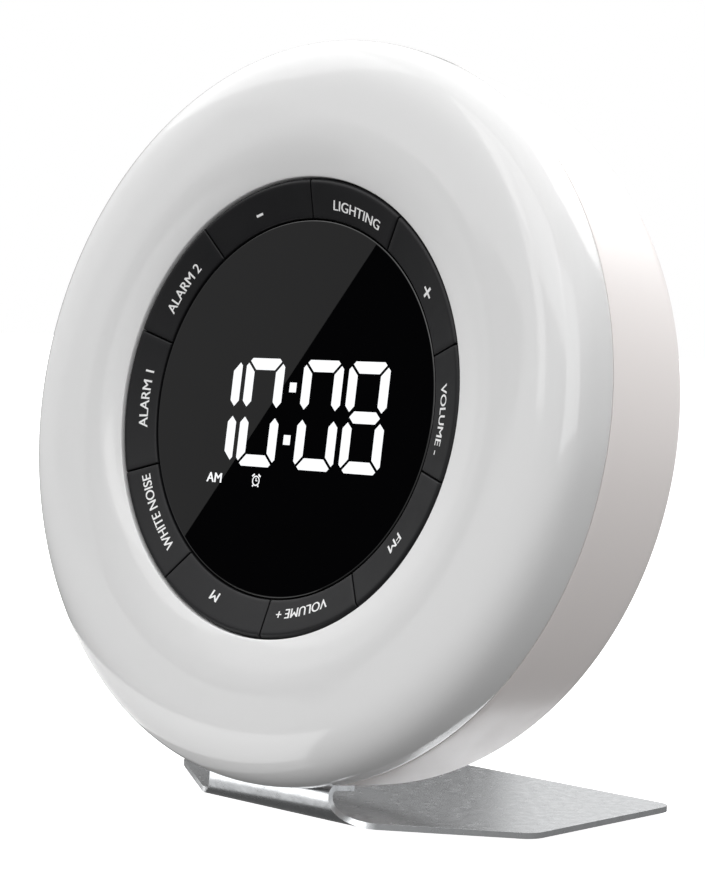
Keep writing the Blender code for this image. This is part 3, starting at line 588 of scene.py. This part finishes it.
class CLOCK_OT_rear_casing(bpy.types.Operator):
    """Builds the rear casing with its grille, openings and flat for the stand"""

    bl_idname = "clock.rear_casing"
    bl_label = "Rear casing"

    def execute(self, context):
        sizes, stand = context.scene.clock_housing, context.scene.clock_stand
        back = sizes.casing_depth
        points, faces = lathe(casing_profile(sizes), 256)
        mesh = make_mesh("rear casing", points, faces)
        block = prism(rounded_box(18.5 * MM, 4.6 * MM, 0.5 * MM, (0, -81.6 * MM)), 0.6 * MM, 10.2 * MM)
        flat = -84.8 * MM
        pocket = prism(rounded_box(30 * MM, 3 * MM, 0.2 * MM, (0, flat - 3 * MM)),
                       -4 * MM, stand.flap + 2 * MM)
        mesh = carved(mesh, [block], "UNION")
        holes = [self.screw_hole(sizes, degrees) for degrees in SCREW_ANGLES]
        holes.append(lathe([(0, 27 * MM), (5.3 * MM, 27 * MM), (5.3 * MM, back - 0.3 * MM),
                            (6.0 * MM, back + 0.4 * MM), (6.0 * MM, 40 * MM), (0, 40 * MM)], 64,
                           (0, sizes.inlet_height)))
        holes.append(prism(rounded_box(14 * MM, 13 * MM, 0.9 * MM, (0, sizes.battery_height)),
                           back - 2.0 * MM, back + 2 * MM))
        holes += self.grille(sizes)
        inner_door = prism(rounded_box(12 * MM, 11 * MM, 0.9 * MM, (0, sizes.battery_height)),
                           25 * MM, 40 * MM)
        mesh = carved(mesh, [pocket, join(holes), inner_door])
        lean_back(mesh)
        show("rear_casing_white", mesh, white_abs(), "clock", ["rear_casing"])
        return {"FINISHED"}

    def screw_hole(self, sizes, degrees):
        """Stepped hole of a casing screw."""
        return lathe([(0, 15 * MM), (1.6 * MM, 15 * MM), (1.6 * MM, 23.1 * MM), (3.1 * MM, 23.1 * MM),
                      (3.1 * MM, sizes.casing_depth - 0.3 * MM), (3.5 * MM, sizes.casing_depth + 0.2 * MM),
                      (3.5 * MM, 40 * MM), (0, 40 * MM)], 32, on_circle(sizes.screw_circle, degrees))

    def grille(self, sizes):
        """Seven slots with round ends that fill a circle."""
        slots, pitch, half, reach = [], 4.4 * MM, 1.1 * MM, 16.8 * MM
        for i in range(-3, 4):
            wide = math.sqrt(reach ** 2 - (i * pitch) ** 2)
            slots.append(prism(rounded_box(wide, half, half * 0.98, (0, sizes.speaker_height + i * pitch)),
                               26 * MM, 40 * MM))
        return slots


class CLOCK_OT_back_details(bpy.types.Operator):
    """Builds the battery door, the power socket and the casing screws"""

    bl_idname = "clock.back_details"
    bl_label = "Back details"

    def execute(self, context):
        sizes = context.scene.clock_housing
        self.battery_door(sizes)
        self.power_socket(sizes)
        for k, degrees in enumerate(SCREW_ANGLES):
            self.casing_screw(sizes, k, degrees)
        return {"FINISHED"}

    def battery_door(self, sizes):
        """Thin door with round corners, a thumb hollow and grip ribs."""
        back, z = sizes.casing_depth, sizes.battery_height
        door = prism(rounded_box(13.7 * MM, 12.7 * MM, 0.8 * MM, (0, z)), back - 1.75 * MM, back - 0.02 * MM,
                     0.25 * MM)
        mesh = make_mesh("door", *door)
        hollow = lathe([(0, back - 0.7 * MM), (2.6 * MM, back - 0.6 * MM), (4.2 * MM, back + 0.4 * MM),
                        (0, back + 0.5 * MM)], 48, (0, z + 9.0 * MM))
        mesh = carved(mesh, [hollow])
        ribs = [prism(rounded_box(5 * MM, 0.35 * MM, 0.3 * MM, (0, z - 5 * MM + i * 1.6 * MM)),
                      back - 0.4 * MM, back + 0.28 * MM, 0.15 * MM) for i in range(4)]
        mesh = carved(mesh, [join(ribs)], "UNION")
        lean_back(mesh)
        show("battery_door_white", mesh, white_abs(), "battery_door", ["battery_door"])

    def power_socket(self, sizes):
        """Round socket body with its bore, and the centre pin."""
        back, centre = sizes.casing_depth - 0.2 * MM, (0, sizes.inlet_height)
        depth, shoulder = back - 10 * MM, sizes.casing_depth - sizes.wall - 0.3 * MM
        body = [(0, depth), (3.5 * MM, depth), (3.5 * MM, back - 0.4 * MM), (3.9 * MM, back - 0.02 * MM),
                (4.0 * MM, back), (4.7 * MM, back), (5.0 * MM, back - 0.3 * MM), (5.0 * MM, shoulder),
                (5.9 * MM, shoulder), (5.9 * MM, 14.2 * MM), (0, 14.2 * MM)]
        mesh = make_mesh("socket", *lathe(body, 64, centre))
        lean_back(mesh)
        show("power_socket_body", mesh, black_nylon(), "clock", ["power_inlet"])
        pin = lathe([(0, depth + 0.05 * MM), (1.0 * MM, depth + 0.05 * MM), (1.0 * MM, back - 2.2 * MM),
                     (0.6 * MM, back - 1.5 * MM), (0, back - 1.4 * MM)], 32, centre)
        mesh = make_mesh("pin", housed(pin[0]), pin[1])
        show("power_socket_pin", mesh, zinc_steel(), "clock")

    def casing_screw(self, sizes, k, degrees):
        """Pan-head screw with a cross recess: head line z = h sqrt(1 - (r/R)^2), rounded at the rim."""
        centre = on_circle(sizes.screw_circle, degrees)
        seat, head_r, head_t = 23.15 * MM, 2.6 * MM, 1.7 * MM
        t = np.linspace(0, 1, 12)
        dome = np.stack([head_r * t, seat + head_t * np.sqrt(1 - 0.92 * t ** 2.4)], 1)
        shank_r, shank_end, tip = 1.25 * MM, -6.5 * MM, -7.3 * MM
        profile = np.concatenate([dome, [(head_r, seat), (shank_r, seat), (shank_r, shank_end), (0, tip)]])
        mesh = make_mesh("screw", *lathe(profile, 40, centre))
        wing, half = 1.35 * MM, 0.26 * MM
        outline = [(wing, -half), (wing, half), (half, half), (half, wing),
                   (-half, wing), (-half, half), (-wing, half), (-wing, -half),
                   (-half, -half), (-half, -wing), (half, -wing), (half, -half)]
        turn = math.radians(17 + 31 * k)
        turned_outline = [(centre[0] + x * math.cos(turn) - z * math.sin(turn),
                           centre[1] + x * math.sin(turn) + z * math.cos(turn)) for x, z in outline]
        mesh = carved(mesh, [prism(turned_outline, seat + 0.6 * MM, seat + 5 * MM)])
        lean_back(mesh)
        show(f"casing_screw_head_{k + 1}", mesh, zinc_steel(), "clock",
             [f"casing_screw_{k + 1}"])


# ---------------------------------------------------------------- keys, lens and digits


def dish(face, radius):
    """How far the keys' cone stands in front of the seam at a radius."""
    slope = face.key_sink / (face.ring_radius - face.key_inner)
    return face.ring_front - slope * (face.ring_radius - radius)


def key_span(face, k):
    """(first, last) angle of key k, clockwise from the top, narrow and wide keys by turns."""
    start = face.key_period * (k // 2)
    if k % 2 == 0:
        return start, start + face.key_narrow
    return start + face.key_narrow, start + face.key_period


def key_shape(face, k):
    """A key as a grid over angle and radius.

    Rounding: at t from 0 to a right angle, the surface lies radius (1 - sin t) inside the edge
    and has dropped by radius (1 - cos t). The outermost row and column fall to the rear face.
    """
    first, last = key_span(face, k)
    half, middle = (last - first) / 2, (first + last) / 2
    t = np.linspace(np.pi / 2, 0, 5)
    side_in, side_drop = face.key_edge * (1 - np.sin(t)), face.key_edge * (1 - np.cos(t))
    tall = 99.0
    inset = np.concatenate([[0], side_in])
    drop_u = np.concatenate([[tall], side_drop])
    share = np.linspace(-1, 1, 31)[1:-1]
    rim_t = np.linspace(0, np.pi / 2, 10)
    radius = np.concatenate([[face.key_inner], face.key_inner + side_in,
                             np.linspace(face.key_inner + face.key_edge,
                                         face.ring_radius - face.key_bevel, 14)[1:-1],
                             face.ring_radius - face.key_bevel * (1 - np.sin(rim_t)), [face.ring_radius]])
    drop_v = np.concatenate([[tall], side_drop, np.zeros(12), face.key_bevel * (1 - np.cos(rim_t)), [tall]])
    edge = [half - np.arcsin((face.key_slit / 2 + d) / radius) for d in inset]
    columns = [-e for e in edge] + [s * edge[-1] for s in share] + edge[::-1]
    angle = np.array(columns) + middle
    drop_u = np.concatenate([drop_u, np.zeros(len(share)), drop_u[::-1]])
    drop = drop_u[:, None] + drop_v[None, :]
    y = np.where(drop >= tall, -face.key_back, -(dish(face, radius)[None, :] - drop))
    points = np.stack([radius * np.sin(angle), y, radius * np.cos(angle)], -1)
    rows, cols = angle.shape
    faces = quads(rows, cols, False, False)
    loop = list(range(cols)) + [r * cols + cols - 1 for r in range(1, rows)]
    loop += [(rows - 1) * cols + c for c in range(cols - 2, -1, -1)]
    loop += [r * cols for r in range(rows - 2, 0, -1)]
    faces.append(loop)
    return points.reshape(-1, 3), faces


def lettering(text, width, height, bold):
    """Flat thin letters as (points, faces), centred, scaled to a width and a height.

    They are made bold by copies set a little to both sides, each 2 micrometres lower.
    """
    curve = bpy.data.curves.new("letters", "FONT")
    curve.body, curve.extrude, curve.resolution_u = text, 0.02, 6
    obj = bpy.data.objects.new("letters", curve)
    bpy.context.scene.collection.objects.link(obj)
    graph = bpy.context.evaluated_depsgraph_get()
    mesh = bpy.data.meshes.new_from_object(obj.evaluated_get(graph))
    points = np.empty(len(mesh.vertices) * 3)
    mesh.vertices.foreach_get("co", points)
    points = points.reshape(-1, 3)
    faces = [list(p.vertices) for p in mesh.polygons]
    bpy.data.objects.remove(obj)
    low, high = points.min(0), points.max(0)
    scale = np.array([width - 2 * bold, height, 0.02 * MM]) / (high - low)
    points = (points - (low + high) / 2) * scale
    return join([(points + (aside * bold, 0, -abs(aside) * 0.002 * MM), faces)
                 for aside in (0, -1, -0.5, 0.5, 1)])


def bent_legend(face, flat, degrees, radius):
    """Flat letters laid on the keys' cone: x becomes angle, y becomes radius, tops outwards."""
    angle = math.radians(degrees) + flat[:, 0] / radius
    reach = radius + flat[:, 1]
    y = -(dish(face, reach) + flat[:, 2] + 0.012 * MM)
    return np.stack([reach * np.sin(angle), y, reach * np.cos(angle)], 1)


# (legend, middle angle clockwise from the top, width, height) in key order, in degrees and mm;
# a height of 0 takes the usual one
LEGENDS = (("LIGHTING", 18.1, 16.2, 0), ("+", 54.7, 3.2, 3.0), ("VOLUME -", 90.3, 15.9, 0),
           ("FM", 126.0, 4.5, 0), ("VOLUME +", 163.8, 16.1, 0), ("M", 198.3, 2.6, 0),
           ("WHITE NOISE", 234.4, 21.1, 0), ("ALARM 1", 269.5, 14.3, 0), ("ALARM 2", 304.5, 14.2, 0),
           ("-", 339.9, 2.1, 0.55))


class CLOCK_OT_keys(bpy.types.Operator):
    """Builds the ten keys and prints their legends"""

    bl_idname = "clock.keys"
    bl_label = "Keys"

    def execute(self, context):
        face = context.scene.clock_face
        for k, body in enumerate(KEY_BODIES):
            points, faces = key_shape(face, k)
            show(body + "_cap", make_mesh(body, housed(points), faces), black_abs(), body,
                 [body], 50)
            text, degrees, width, height = LEGENDS[k]
            flat, faces = lettering(text, width * MM, height * MM or face.legend_height, 0.06 * MM)
            points = bent_legend(face, flat, degrees, face.legend_radius)
            show(body + "_legend", make_mesh(body, housed(points), faces), screen_ink(), body)
        return {"FINISHED"}


class CLOCK_OT_display_lens(bpy.types.Operator):
    """Builds the glossy display lens"""

    bl_idname = "clock.display_lens"
    bl_label = "Display lens"

    def execute(self, context):
        face = context.scene.clock_face
        radius, front, back = face.key_inner - face.key_slit, -face.lens_front, -face.lens_front + 2 * MM
        rim = fillet([(0, front), (radius, front), (radius, back)], [0.35 * MM], 6)
        rim = np.insert(rim, 1, (radius - 0.5 * MM, front), 0)
        points, faces = lathe(np.concatenate([rim, [(0, back)]]), 256)
        mesh = make_mesh("lens", housed(points), faces)
        show("display_lens_smoked", mesh, smoked_acrylic(), "clock", ["display_lens"])
        return {"FINISHED"}


def segment_outlines(face):
    """Outlines of the seven segments of a digit whose lower left corner is (0, 0).

    The mitres between neighbours run along the corner's diagonal, pulled apart by a gap; the
    corners themselves are cut off, and the segments meet the middle in points.
    """
    w, h, t = face.digit_width, face.digit_height, face.digit_stroke
    cut, gap, mid, inset = 0.7 * MM, 0.5 * MM, face.digit_height / 2, 0.25 * MM
    top = np.array([(cut + gap, h - cut), (2 * cut + gap, h), (w - 2 * cut - gap, h),
                    (w - cut - gap, h - cut), (w - t - gap, h - t), (t + gap, h - t)])
    tip = 1.2 * MM
    left = np.array([(0, h - 2 * cut - gap), (cut, h - cut - gap), (t, h - t - gap), (t, mid + tip + t / 2),
                     (t / 2, mid + tip), (0, mid + tip + t / 2)])
    middle = np.array([(t / 2 + inset, mid), (t + inset, mid + t / 2), (w - t - inset, mid + t / 2),
                       (w - t / 2 - inset, mid), (w - t - inset, mid - t / 2), (t + inset, mid - t / 2)])
    flip_x, flip_z = np.array([-1, 1]), np.array([1, -1])
    right = left * flip_x + (w, 0)
    down = np.array([0, h])
    return {"a": top, "f": left, "b": right, "g": middle,
            "d": top * flip_z + down, "e": left * flip_z + down, "c": right * flip_z + down}


SEGMENTS = {"0": "abcdef", "1": "bc", "2": "abged", "3": "abgcd", "4": "fgbc", "5": "afgcd",
            "6": "afgedc", "7": "abc", "8": "abcdefg", "9": "abcdfg"}


class CLOCK_OT_digits(bpy.types.Operator):
    """Builds the lit segments, the half-of-day mark and the alarm sign"""

    bl_idname = "clock.digits"
    bl_label = "Digits"

    def execute(self, context):
        face = context.scene.clock_face
        front = -face.lens_front
        bottom = -14.25 * MM
        lefts = [-29.8 * MM, -15.65 * MM, 3.3 * MM, 17.75 * MM]
        outlines = segment_outlines(face)
        shapes = []
        for digit, left in zip(face.time.replace(":", ""), lefts):
            shapes += [outlines[s] + (left, bottom) for s in SEGMENTS[digit]]
        for z in (4.9 * MM, -7.5 * MM):
            shapes.append(rounded_box(1.1 * MM, 1.15 * MM, 0.1 * MM, (0.4 * MM, z), 2))
        pivot, turn = np.array([3.0, -1.4]) * MM, face.digit_turn
        spin = np.array([[math.cos(turn), math.sin(turn)], [-math.sin(turn), math.cos(turn)]])
        for i, outline in enumerate(shapes):
            outline = (outline - pivot) @ spin + pivot
            points, faces = prism(outline, front - 0.03 * MM, front - 0.005 * MM)
            show(f"segment_{i + 1:02d}", make_mesh("segment", housed(points), faces), lit_segments(),
                 "clock")
        self.signs(front)
        return {"FINISHED"}

    def signs(self, front):
        """The letters of the half of day, and a bell clock: ring, hands, two bells, two feet."""
        flat, faces = lettering("AM", 5.1 * MM, 2.3 * MM, 0.08 * MM)
        points = np.stack([flat[:, 0] - 22.0 * MM, front - 0.02 * MM - flat[:, 2] / 3,
                           flat[:, 1] - 17.9 * MM], 1)
        show("half_of_day", make_mesh("letters", housed(points), faces), lit_segments(),
             "clock")
        x, z = -7.9 * MM, -17.75 * MM
        y0, y1 = front - 0.03 * MM, front - 0.005 * MM
        ring = lathe([(1.22 * MM, y0), (1.22 * MM, y1), (0.93 * MM, y1), (0.93 * MM, y0)], 48, (x, z), True)
        parts = [ring, prism(rounded_box(0.11 * MM, 0.36 * MM, 0.05 * MM, (x, z + 0.3 * MM)), y0, y1),
                 prism(rounded_box(0.26 * MM, 0.10 * MM, 0.05 * MM, (x + 0.24 * MM, z)), y0, y1)]
        for side in (-1, 1):
            for reach, out, wide in ((1.62, 38, 0.46), (1.5, 145, 0.2)):
                cx, cz = on_circle(reach * MM, side * out)
                turn = math.radians(-side * out)
                box = rounded_box(wide * MM, 0.2 * MM, 0.1 * MM)
                box = np.stack([box[:, 0] * math.cos(turn) - box[:, 1] * math.sin(turn) + x + cx,
                                box[:, 0] * math.sin(turn) + box[:, 1] * math.cos(turn) + z + cz], 1)
                parts.append(prism(box, y0, y1))
        points, faces = join(parts)
        show("alarm_sign", make_mesh("sign", housed(points), faces), lit_segments(), "clock")


# ---------------------------------------------------------------- stand


def stand_sections(stand):
    """Stations along the sheet as rows of (outer y, outer z, normal y, normal z, half width).

    Seen from the side the sheet is a polyline with two round bends; seen from above its half
    width follows a polyline with round corners.
    """
    lean = math.atan2(-INWARD[2], INWARD[1])
    lower = stand.lower_bend
    plan = fillet([(0, stand.neck), (stand.flare, stand.half), (stand.length, stand.half), (stand.length, 0)],
                  [6 * MM, 4 * MM], 14)[:-1]
    fall = math.tan(lean) * stand.flap
    side = fillet([(stand.flap, stand.rise - fall), (0, stand.rise), (0, 0), (2 * lower, 0)],
                  [stand.upper_bend, lower], 16)[:-1]
    run = np.gradient(side, axis=0)
    run[0], run[-1] = side[1] - side[0], (1, 0)
    run /= np.linalg.norm(run, axis=1)[:, None]
    on_bend = np.arange(len(side)) >= len(side) - 17
    width = np.where(on_bend, np.interp(side[:, 0], plan[:, 0], plan[:, 1]), stand.neck)
    bent = np.column_stack([side[:, 0], side[:, 1], run[:, 1], -run[:, 0], width])
    plan = plan[plan[:, 0] > lower + 0.1 * MM]
    zero = np.zeros(len(plan))
    flat = np.column_stack([plan[:, 0], zero, zero, zero - 1, plan[:, 1]])
    return np.concatenate([bent, flat])


class CLOCK_OT_stand(bpy.types.Operator):
    """Builds the bent aluminium stand and its rubber pads"""

    bl_idname = "clock.stand"
    bl_label = "Stand"

    def execute(self, context):
        stand = context.scene.clock_stand
        low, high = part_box("stand")
        rows = stand_sections(stand)
        outer, normal, half = rows[:, :2], rows[:, 2:4], rows[:, 4]
        inner = outer - normal * stand.sheet
        ring = np.stack([np.column_stack([-half, outer]), np.column_stack([half, outer]),
                         np.column_stack([half, inner]), np.column_stack([-half, inner])], 1)
        points = ring.reshape(-1, 3) + (0, low.y, low.z)
        faces = quads(len(rows), 4)
        faces += [[0, 1, 2, 3], [len(rows) * 4 - 4 + i for i in range(4)]]
        mesh = make_mesh("stand", points, faces)
        piece = show("stand_sheet", mesh, satin_aluminium(), "clock", ["stand"], 40)
        bevel = piece.modifiers.new("edges", "BEVEL")
        bevel.width, bevel.segments, bevel.limit_method = 0.22 * MM, 2, "ANGLE"
        bevel.angle_limit = math.radians(50)
        bevel.harden_normals = True
        for end in ("front", "rear"):
            for side in ("left", "right"):
                self.pad(stand, f"pad_{end}_{side}")
        return {"FINISHED"}

    def pad(self, stand, node):
        """Rubber disc with a round rim, in the place of its CAD pad."""
        low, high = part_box(node)
        thick = high.z - low.z
        radius = stand.pad_radius
        t = np.linspace(0, np.pi / 2, 6)
        edge = 0.3 * MM
        rim = np.stack([radius - edge * (1 - np.sin(t)), edge * (1 - np.cos(t))], 1)
        profile = np.concatenate([[(0, 0)], rim, [(radius, thick), (0, thick)]])
        points, faces = lathe(profile, 64)
        middle = (low + high) / 2
        points = np.stack([points[:, 0] + middle.x, points[:, 2] + middle.y, points[:, 1] + low.z], 1)
        show(node + "_rubber", make_mesh(node, points, faces), soft_rubber(), "clock", [node])


class CLOCK_OT_inner_parts(bpy.types.Operator):
    """Gives every CAD node that stays its finish"""

    bl_idname = "clock.inner_parts"
    bl_label = "Inner parts"

    def execute(self, context):
        finishes = {
            "key_frame": black_nylon(), "key_mat": silicone(), "display_module": black_nylon(),
            "display_board": board("circuit board, green mask", "#1F5A34"),
            "main_board": board("circuit board, green mask", "#1F5A34"),
            "lamp_board": board("circuit board, white mask", "#E8E9EA"),
            "light_reflector": white_reflector(), "speaker_frame": zinc_steel(),
            "speaker_magnet": ferrite(), "speaker_cone": speaker_paper(), "battery_holder": black_nylon(),
            "coin_cell": zinc_steel(), "cell_contact": zinc_steel(),
        }
        for name, obj in frame["nodes"].items():
            material = finishes.get(name)
            if "screw" in name or "nut" in name:
                material = zinc_steel()
            if material:
                obj.data.materials.clear()
                obj.data.materials.append(material)
        return {"FINISHED"}


# ---------------------------------------------------------------- stage


SENSOR = 36.0  # width of the camera's frame in millimetres


class StageSettings(bpy.types.PropertyGroup):
    """Where the camera and the lights stand."""

    azimuth: angle("Azimuth", "Camera's turn to the right of the face", 42.9)
    pitch: angle("Pitch", "How far the camera looks down", 2.93)
    roll: angle("Roll", "Camera's tilt about its view line", 1.97)
    distance: length("Distance", "Camera to the housing's middle", 593.09)
    lens: FloatProperty(name="Focal length", description="In millimetres on a 36 mm frame", default=103.3)


def area_light(name, place, size, power):
    """Rectangular white softbox that faces the housing's middle."""
    light = bpy.data.lights.new(name, "AREA")
    light.shape, light.size, light.size_y = "RECTANGLE", *size
    light.energy = power
    obj = bpy.data.objects.new(name, light)
    bpy.context.scene.collection.objects.link(obj)
    obj.location = place
    obj.rotation_euler = (Vector(ORIGIN) - Vector(place)).to_track_quat("-Z", "Y").to_euler()


class CLOCK_OT_stage(bpy.types.Operator):
    """Sets up the floor, the soft lights, the world and the camera"""

    bl_idname = "clock.stage"
    bl_label = "Stage"

    def execute(self, context):
        scene = context.scene
        scene.view_settings.view_transform = "Standard"
        self.camera(scene)
        self.floor()
        self.world(scene)
        for lamp in (("overhead softbox", (0, 0, 1.0), (1.2, 1.2), 2.0),
                     ("back softbox", (0, 0.8, 0.8), (0.9, 0.6), 3.5),
                     ("front softbox", (0, -0.9, 0.8), (0.9, 0.6), 2.0),
                     ("left softbox", (-0.8, -0.3, 0.8), (0.8, 0.5), 1.6)):
            area_light(*lamp)
        self.flags(scene)
        for card in (("front strip", 2.7, 46, 1.1, 1.0, 0.20, 1.1),
                     ("narrow strip", 2.4, -22, 1.1, 0.14, 0.32, 1.1),
                     ("rear strip", 1.4, 168, 1.1, 0.45, 0.30, 1.1),
                     ("near card", 2.1, -58, 0.13, 0.20, -0.040, 0.018),
                     ("lower near card", 0.8, -58, 0.13, 0.20, -0.100, -0.040),
                     ("dark back flag", 0.20, -121, 0.8, 0.65, -0.3, 0.40),
                     ("bright back flag", 0.86, -164.5, 0.8, 0.62, 0.02, 0.40)):
            self.upright(*card)
        return {"FINISHED"}

    def camera(self, scene):
        """Camera on its line of sight: right, up and view vectors from azimuth, pitch and roll."""
        stage = scene.clock_stage
        a, p, roll = stage.azimuth, stage.pitch, stage.roll
        right = Vector((math.cos(a), math.sin(a), 0))
        view = Vector((-math.sin(a) * math.cos(p), math.cos(a) * math.cos(p), -math.sin(p)))
        up = right.cross(view)
        turned_right = right * math.cos(roll) + up * math.sin(roll)
        turned_up = up * math.cos(roll) - right * math.sin(roll)
        aside, above = 9.60 * MM, -5.97 * MM
        place = Vector(ORIGIN) - view * stage.distance + turned_right * aside + turned_up * above
        camera = bpy.data.objects.new("camera", bpy.data.cameras.new("camera"))
        scene.collection.objects.link(camera)
        camera.data.lens, camera.data.sensor_width = stage.lens, SENSOR
        camera.data.clip_start = 0.01
        camera.matrix_world = Matrix((
            (turned_right.x, turned_up.x, -view.x, place.x), (turned_right.y, turned_up.y, -view.y, place.y),
            (turned_right.z, turned_up.z, -view.z, place.z), (0, 0, 0, 1)))
        scene.camera = camera

    def floor(self):
        """Wide flat floor at the height of the pads' undersides, there for the eye alone."""
        corner = 6.0
        self.card("floor", pale_floor(), [(-corner, -corner, 0), (corner, -corner, 0), (corner, corner, 0),
                                          (-corner, corner, 0)], camera=True, glossy=False)

    def card(self, name, material, corners, camera, glossy):
        """Flat sheet of the studio that throws no light and no shadow on the clock."""
        mesh = bpy.data.meshes.new(name)
        mesh.from_pydata([tuple(corner) for corner in corners], [], [(0, 1, 2, 3)])
        mesh.materials.append(material)
        sheet = bpy.data.objects.new(name, mesh)
        bpy.context.scene.collection.objects.link(sheet)
        sheet.visible_camera, sheet.visible_glossy = camera, glossy
        sheet.visible_diffuse = sheet.visible_shadow = sheet.visible_transmission = False

    def world(self, scene):
        """Light tent, brightest overhead and dark below; plain white to the eye.

        Brightness against the height of the direction: dim below, even round the horizon,
        rising to the top, where the gloss sees the tent's lamps.
        """
        world = bpy.data.worlds.new("studio")
        scene.world = world
        world.use_nodes = True
        tree = world.node_tree
        tree.nodes.clear()
        place = add_node(tree, "ShaderNodeTexCoord")
        height = add_node(tree, "ShaderNodeSeparateXYZ", {"Vector": place.outputs["Generated"]})
        half = add_node(tree, "ShaderNodeMath", {0: height.outputs["Z"], 1: 0.5, 2: 0.5},
                        operation="MULTIPLY_ADD")
        soft = ((0.15, 0.23), (0.38, 0.31), (0.48, 0.72), (0.58, 0.84), (0.90, 1.0))
        gloss = ((0.15, 0.10), (0.38, 0.20), (0.52, 0.80), (0.62, 0.90), (0.80, 1.8))
        tents = []
        for stops in (soft, gloss):
            ramp = add_node(tree, "ShaderNodeValToRGB", {"Fac": half.outputs["Value"]})
            while len(ramp.color_ramp.elements) < len(stops):
                ramp.color_ramp.elements.new(0.5)
            for stop, (position, value) in zip(ramp.color_ramp.elements, stops):
                stop.position, stop.color = position, (value, value, value, 1)
            ramp.color_ramp.interpolation = "EASE"
            tents.append(add_node(tree, "ShaderNodeBackground",
                                  {"Color": ramp.outputs["Color"], "Strength": 1.0}))
        white = add_node(tree, "ShaderNodeBackground", {"Color": (1, 1, 1, 1), "Strength": 1.0})
        path = add_node(tree, "ShaderNodeLightPath")
        lit = add_node(tree, "ShaderNodeMixShader", {0: path.outputs["Is Glossy Ray"],
                                                     1: tents[0].outputs["Background"],
                                                     2: tents[1].outputs["Background"]})
        seen = add_node(tree, "ShaderNodeMixShader", {0: path.outputs["Is Camera Ray"],
                                                      1: lit.outputs["Shader"],
                                                      2: white.outputs["Background"]})
        out = add_node(tree, "ShaderNodeOutputWorld")
        tree.links.new(seen.outputs["Shader"], out.inputs["Surface"])

    def flags(self, scene):
        """Grey and black cards that only the gloss sees: where they meet divides the lens's mirror.

        The two ends of the dividing line on the lens, seen from the camera and mirrored in the
        lens's plane, give the edge that the cards share.
        """
        eye = np.array(scene.camera.matrix_world.translation)
        normal = -INWARD
        front = -scene.clock_face.lens_front
        spots = housed([(21.0 * MM, front, 39.0 * MM), (-29.0 * MM, front, -32.0 * MM)])
        rays = spots - eye
        rays /= np.linalg.norm(rays, axis=1)[:, None]
        rays -= 2 * (rays @ normal)[:, None] * normal
        ends = spots + rays * 0.5
        along = ends[1] - ends[0]
        along /= np.linalg.norm(along)
        aside = np.cross(along, ends.mean(0) - ORIGIN)
        aside /= np.linalg.norm(aside)
        edge = [ends[0] - along * 0.03, ends[1] + along * 0.03]
        for name, side, strength in (("black flag", -0.10, 0.0), ("grey flag", 0.10, 0.45)):
            self.card(name.replace(" ", "_"), self.glow(name, strength),
                      [edge[0], edge[1], edge[1] + aside * side, edge[0] + aside * side], False, True)

    def upright(self, name, strength, azimuth, distance, width, low, high):
        """Upright card for the gloss, facing the clock; azimuth counts from the face to the right."""
        a = math.radians(azimuth)
        middle = np.array([math.sin(a), -math.cos(a), 0]) * distance
        side = np.array([math.cos(a), math.sin(a), 0]) * width / 2
        corners = [middle - side + (0, 0, low), middle + side + (0, 0, low),
                   middle + side + (0, 0, high), middle - side + (0, 0, high)]
        self.card(name.replace(" ", "_"), self.glow(name, strength), corners, False, True)

    def glow(self, name, strength):
        """Material of a card that shines evenly and mirrors nothing."""
        return finish(name, rgb("#000000"), 1.0, Specular_IOR_Level=0.0, Emission_Strength=strength,
                      Emission_Color=(1, 1, 1, 1))


# ---------------------------------------------------------------- panel and registration


class CLOCK_PT_panel(bpy.types.Panel):
    """Lists the build steps and their settings"""

    bl_idname = "CLOCK_PT_panel"
    bl_label = "Lamp clock radio"
    bl_space_type = "VIEW_3D"
    bl_region_type = "UI"
    bl_category = "Clock"

    def draw(self, context):
        for name in SETTINGS:
            box = self.layout.box()
            group = getattr(context.scene, name)
            for key in group.__annotations__:
                box.prop(group, key)
        for step in STEPS:
            self.layout.operator(step.bl_idname)


SETTINGS = {"clock_housing": HousingSettings, "clock_face": FaceSettings, "clock_stand": StandSettings,
            "clock_colours": ColourSettings, "clock_stage": StageSettings}
STEPS = (CLOCK_OT_stage, CLOCK_OT_front_shell, CLOCK_OT_rear_casing, CLOCK_OT_back_details, CLOCK_OT_keys,
         CLOCK_OT_display_lens, CLOCK_OT_digits, CLOCK_OT_stand, CLOCK_OT_inner_parts)


def register():
    for cls in (*SETTINGS.values(), *STEPS, CLOCK_PT_panel):
        bpy.utils.register_class(cls)
    for name, cls in SETTINGS.items():
        setattr(bpy.types.Scene, name, PointerProperty(type=cls))


def unregister():
    for name in SETTINGS:
        delattr(bpy.types.Scene, name)
    for cls in (CLOCK_PT_panel, *reversed(STEPS), *reversed(SETTINGS.values())):
        bpy.utils.unregister_class(cls)


def main():
    register()
    for step in STEPS:
        group, name = step.bl_idname.split(".")
        getattr(getattr(bpy.ops, group), name)()


if __name__ == "__main__":
    main()
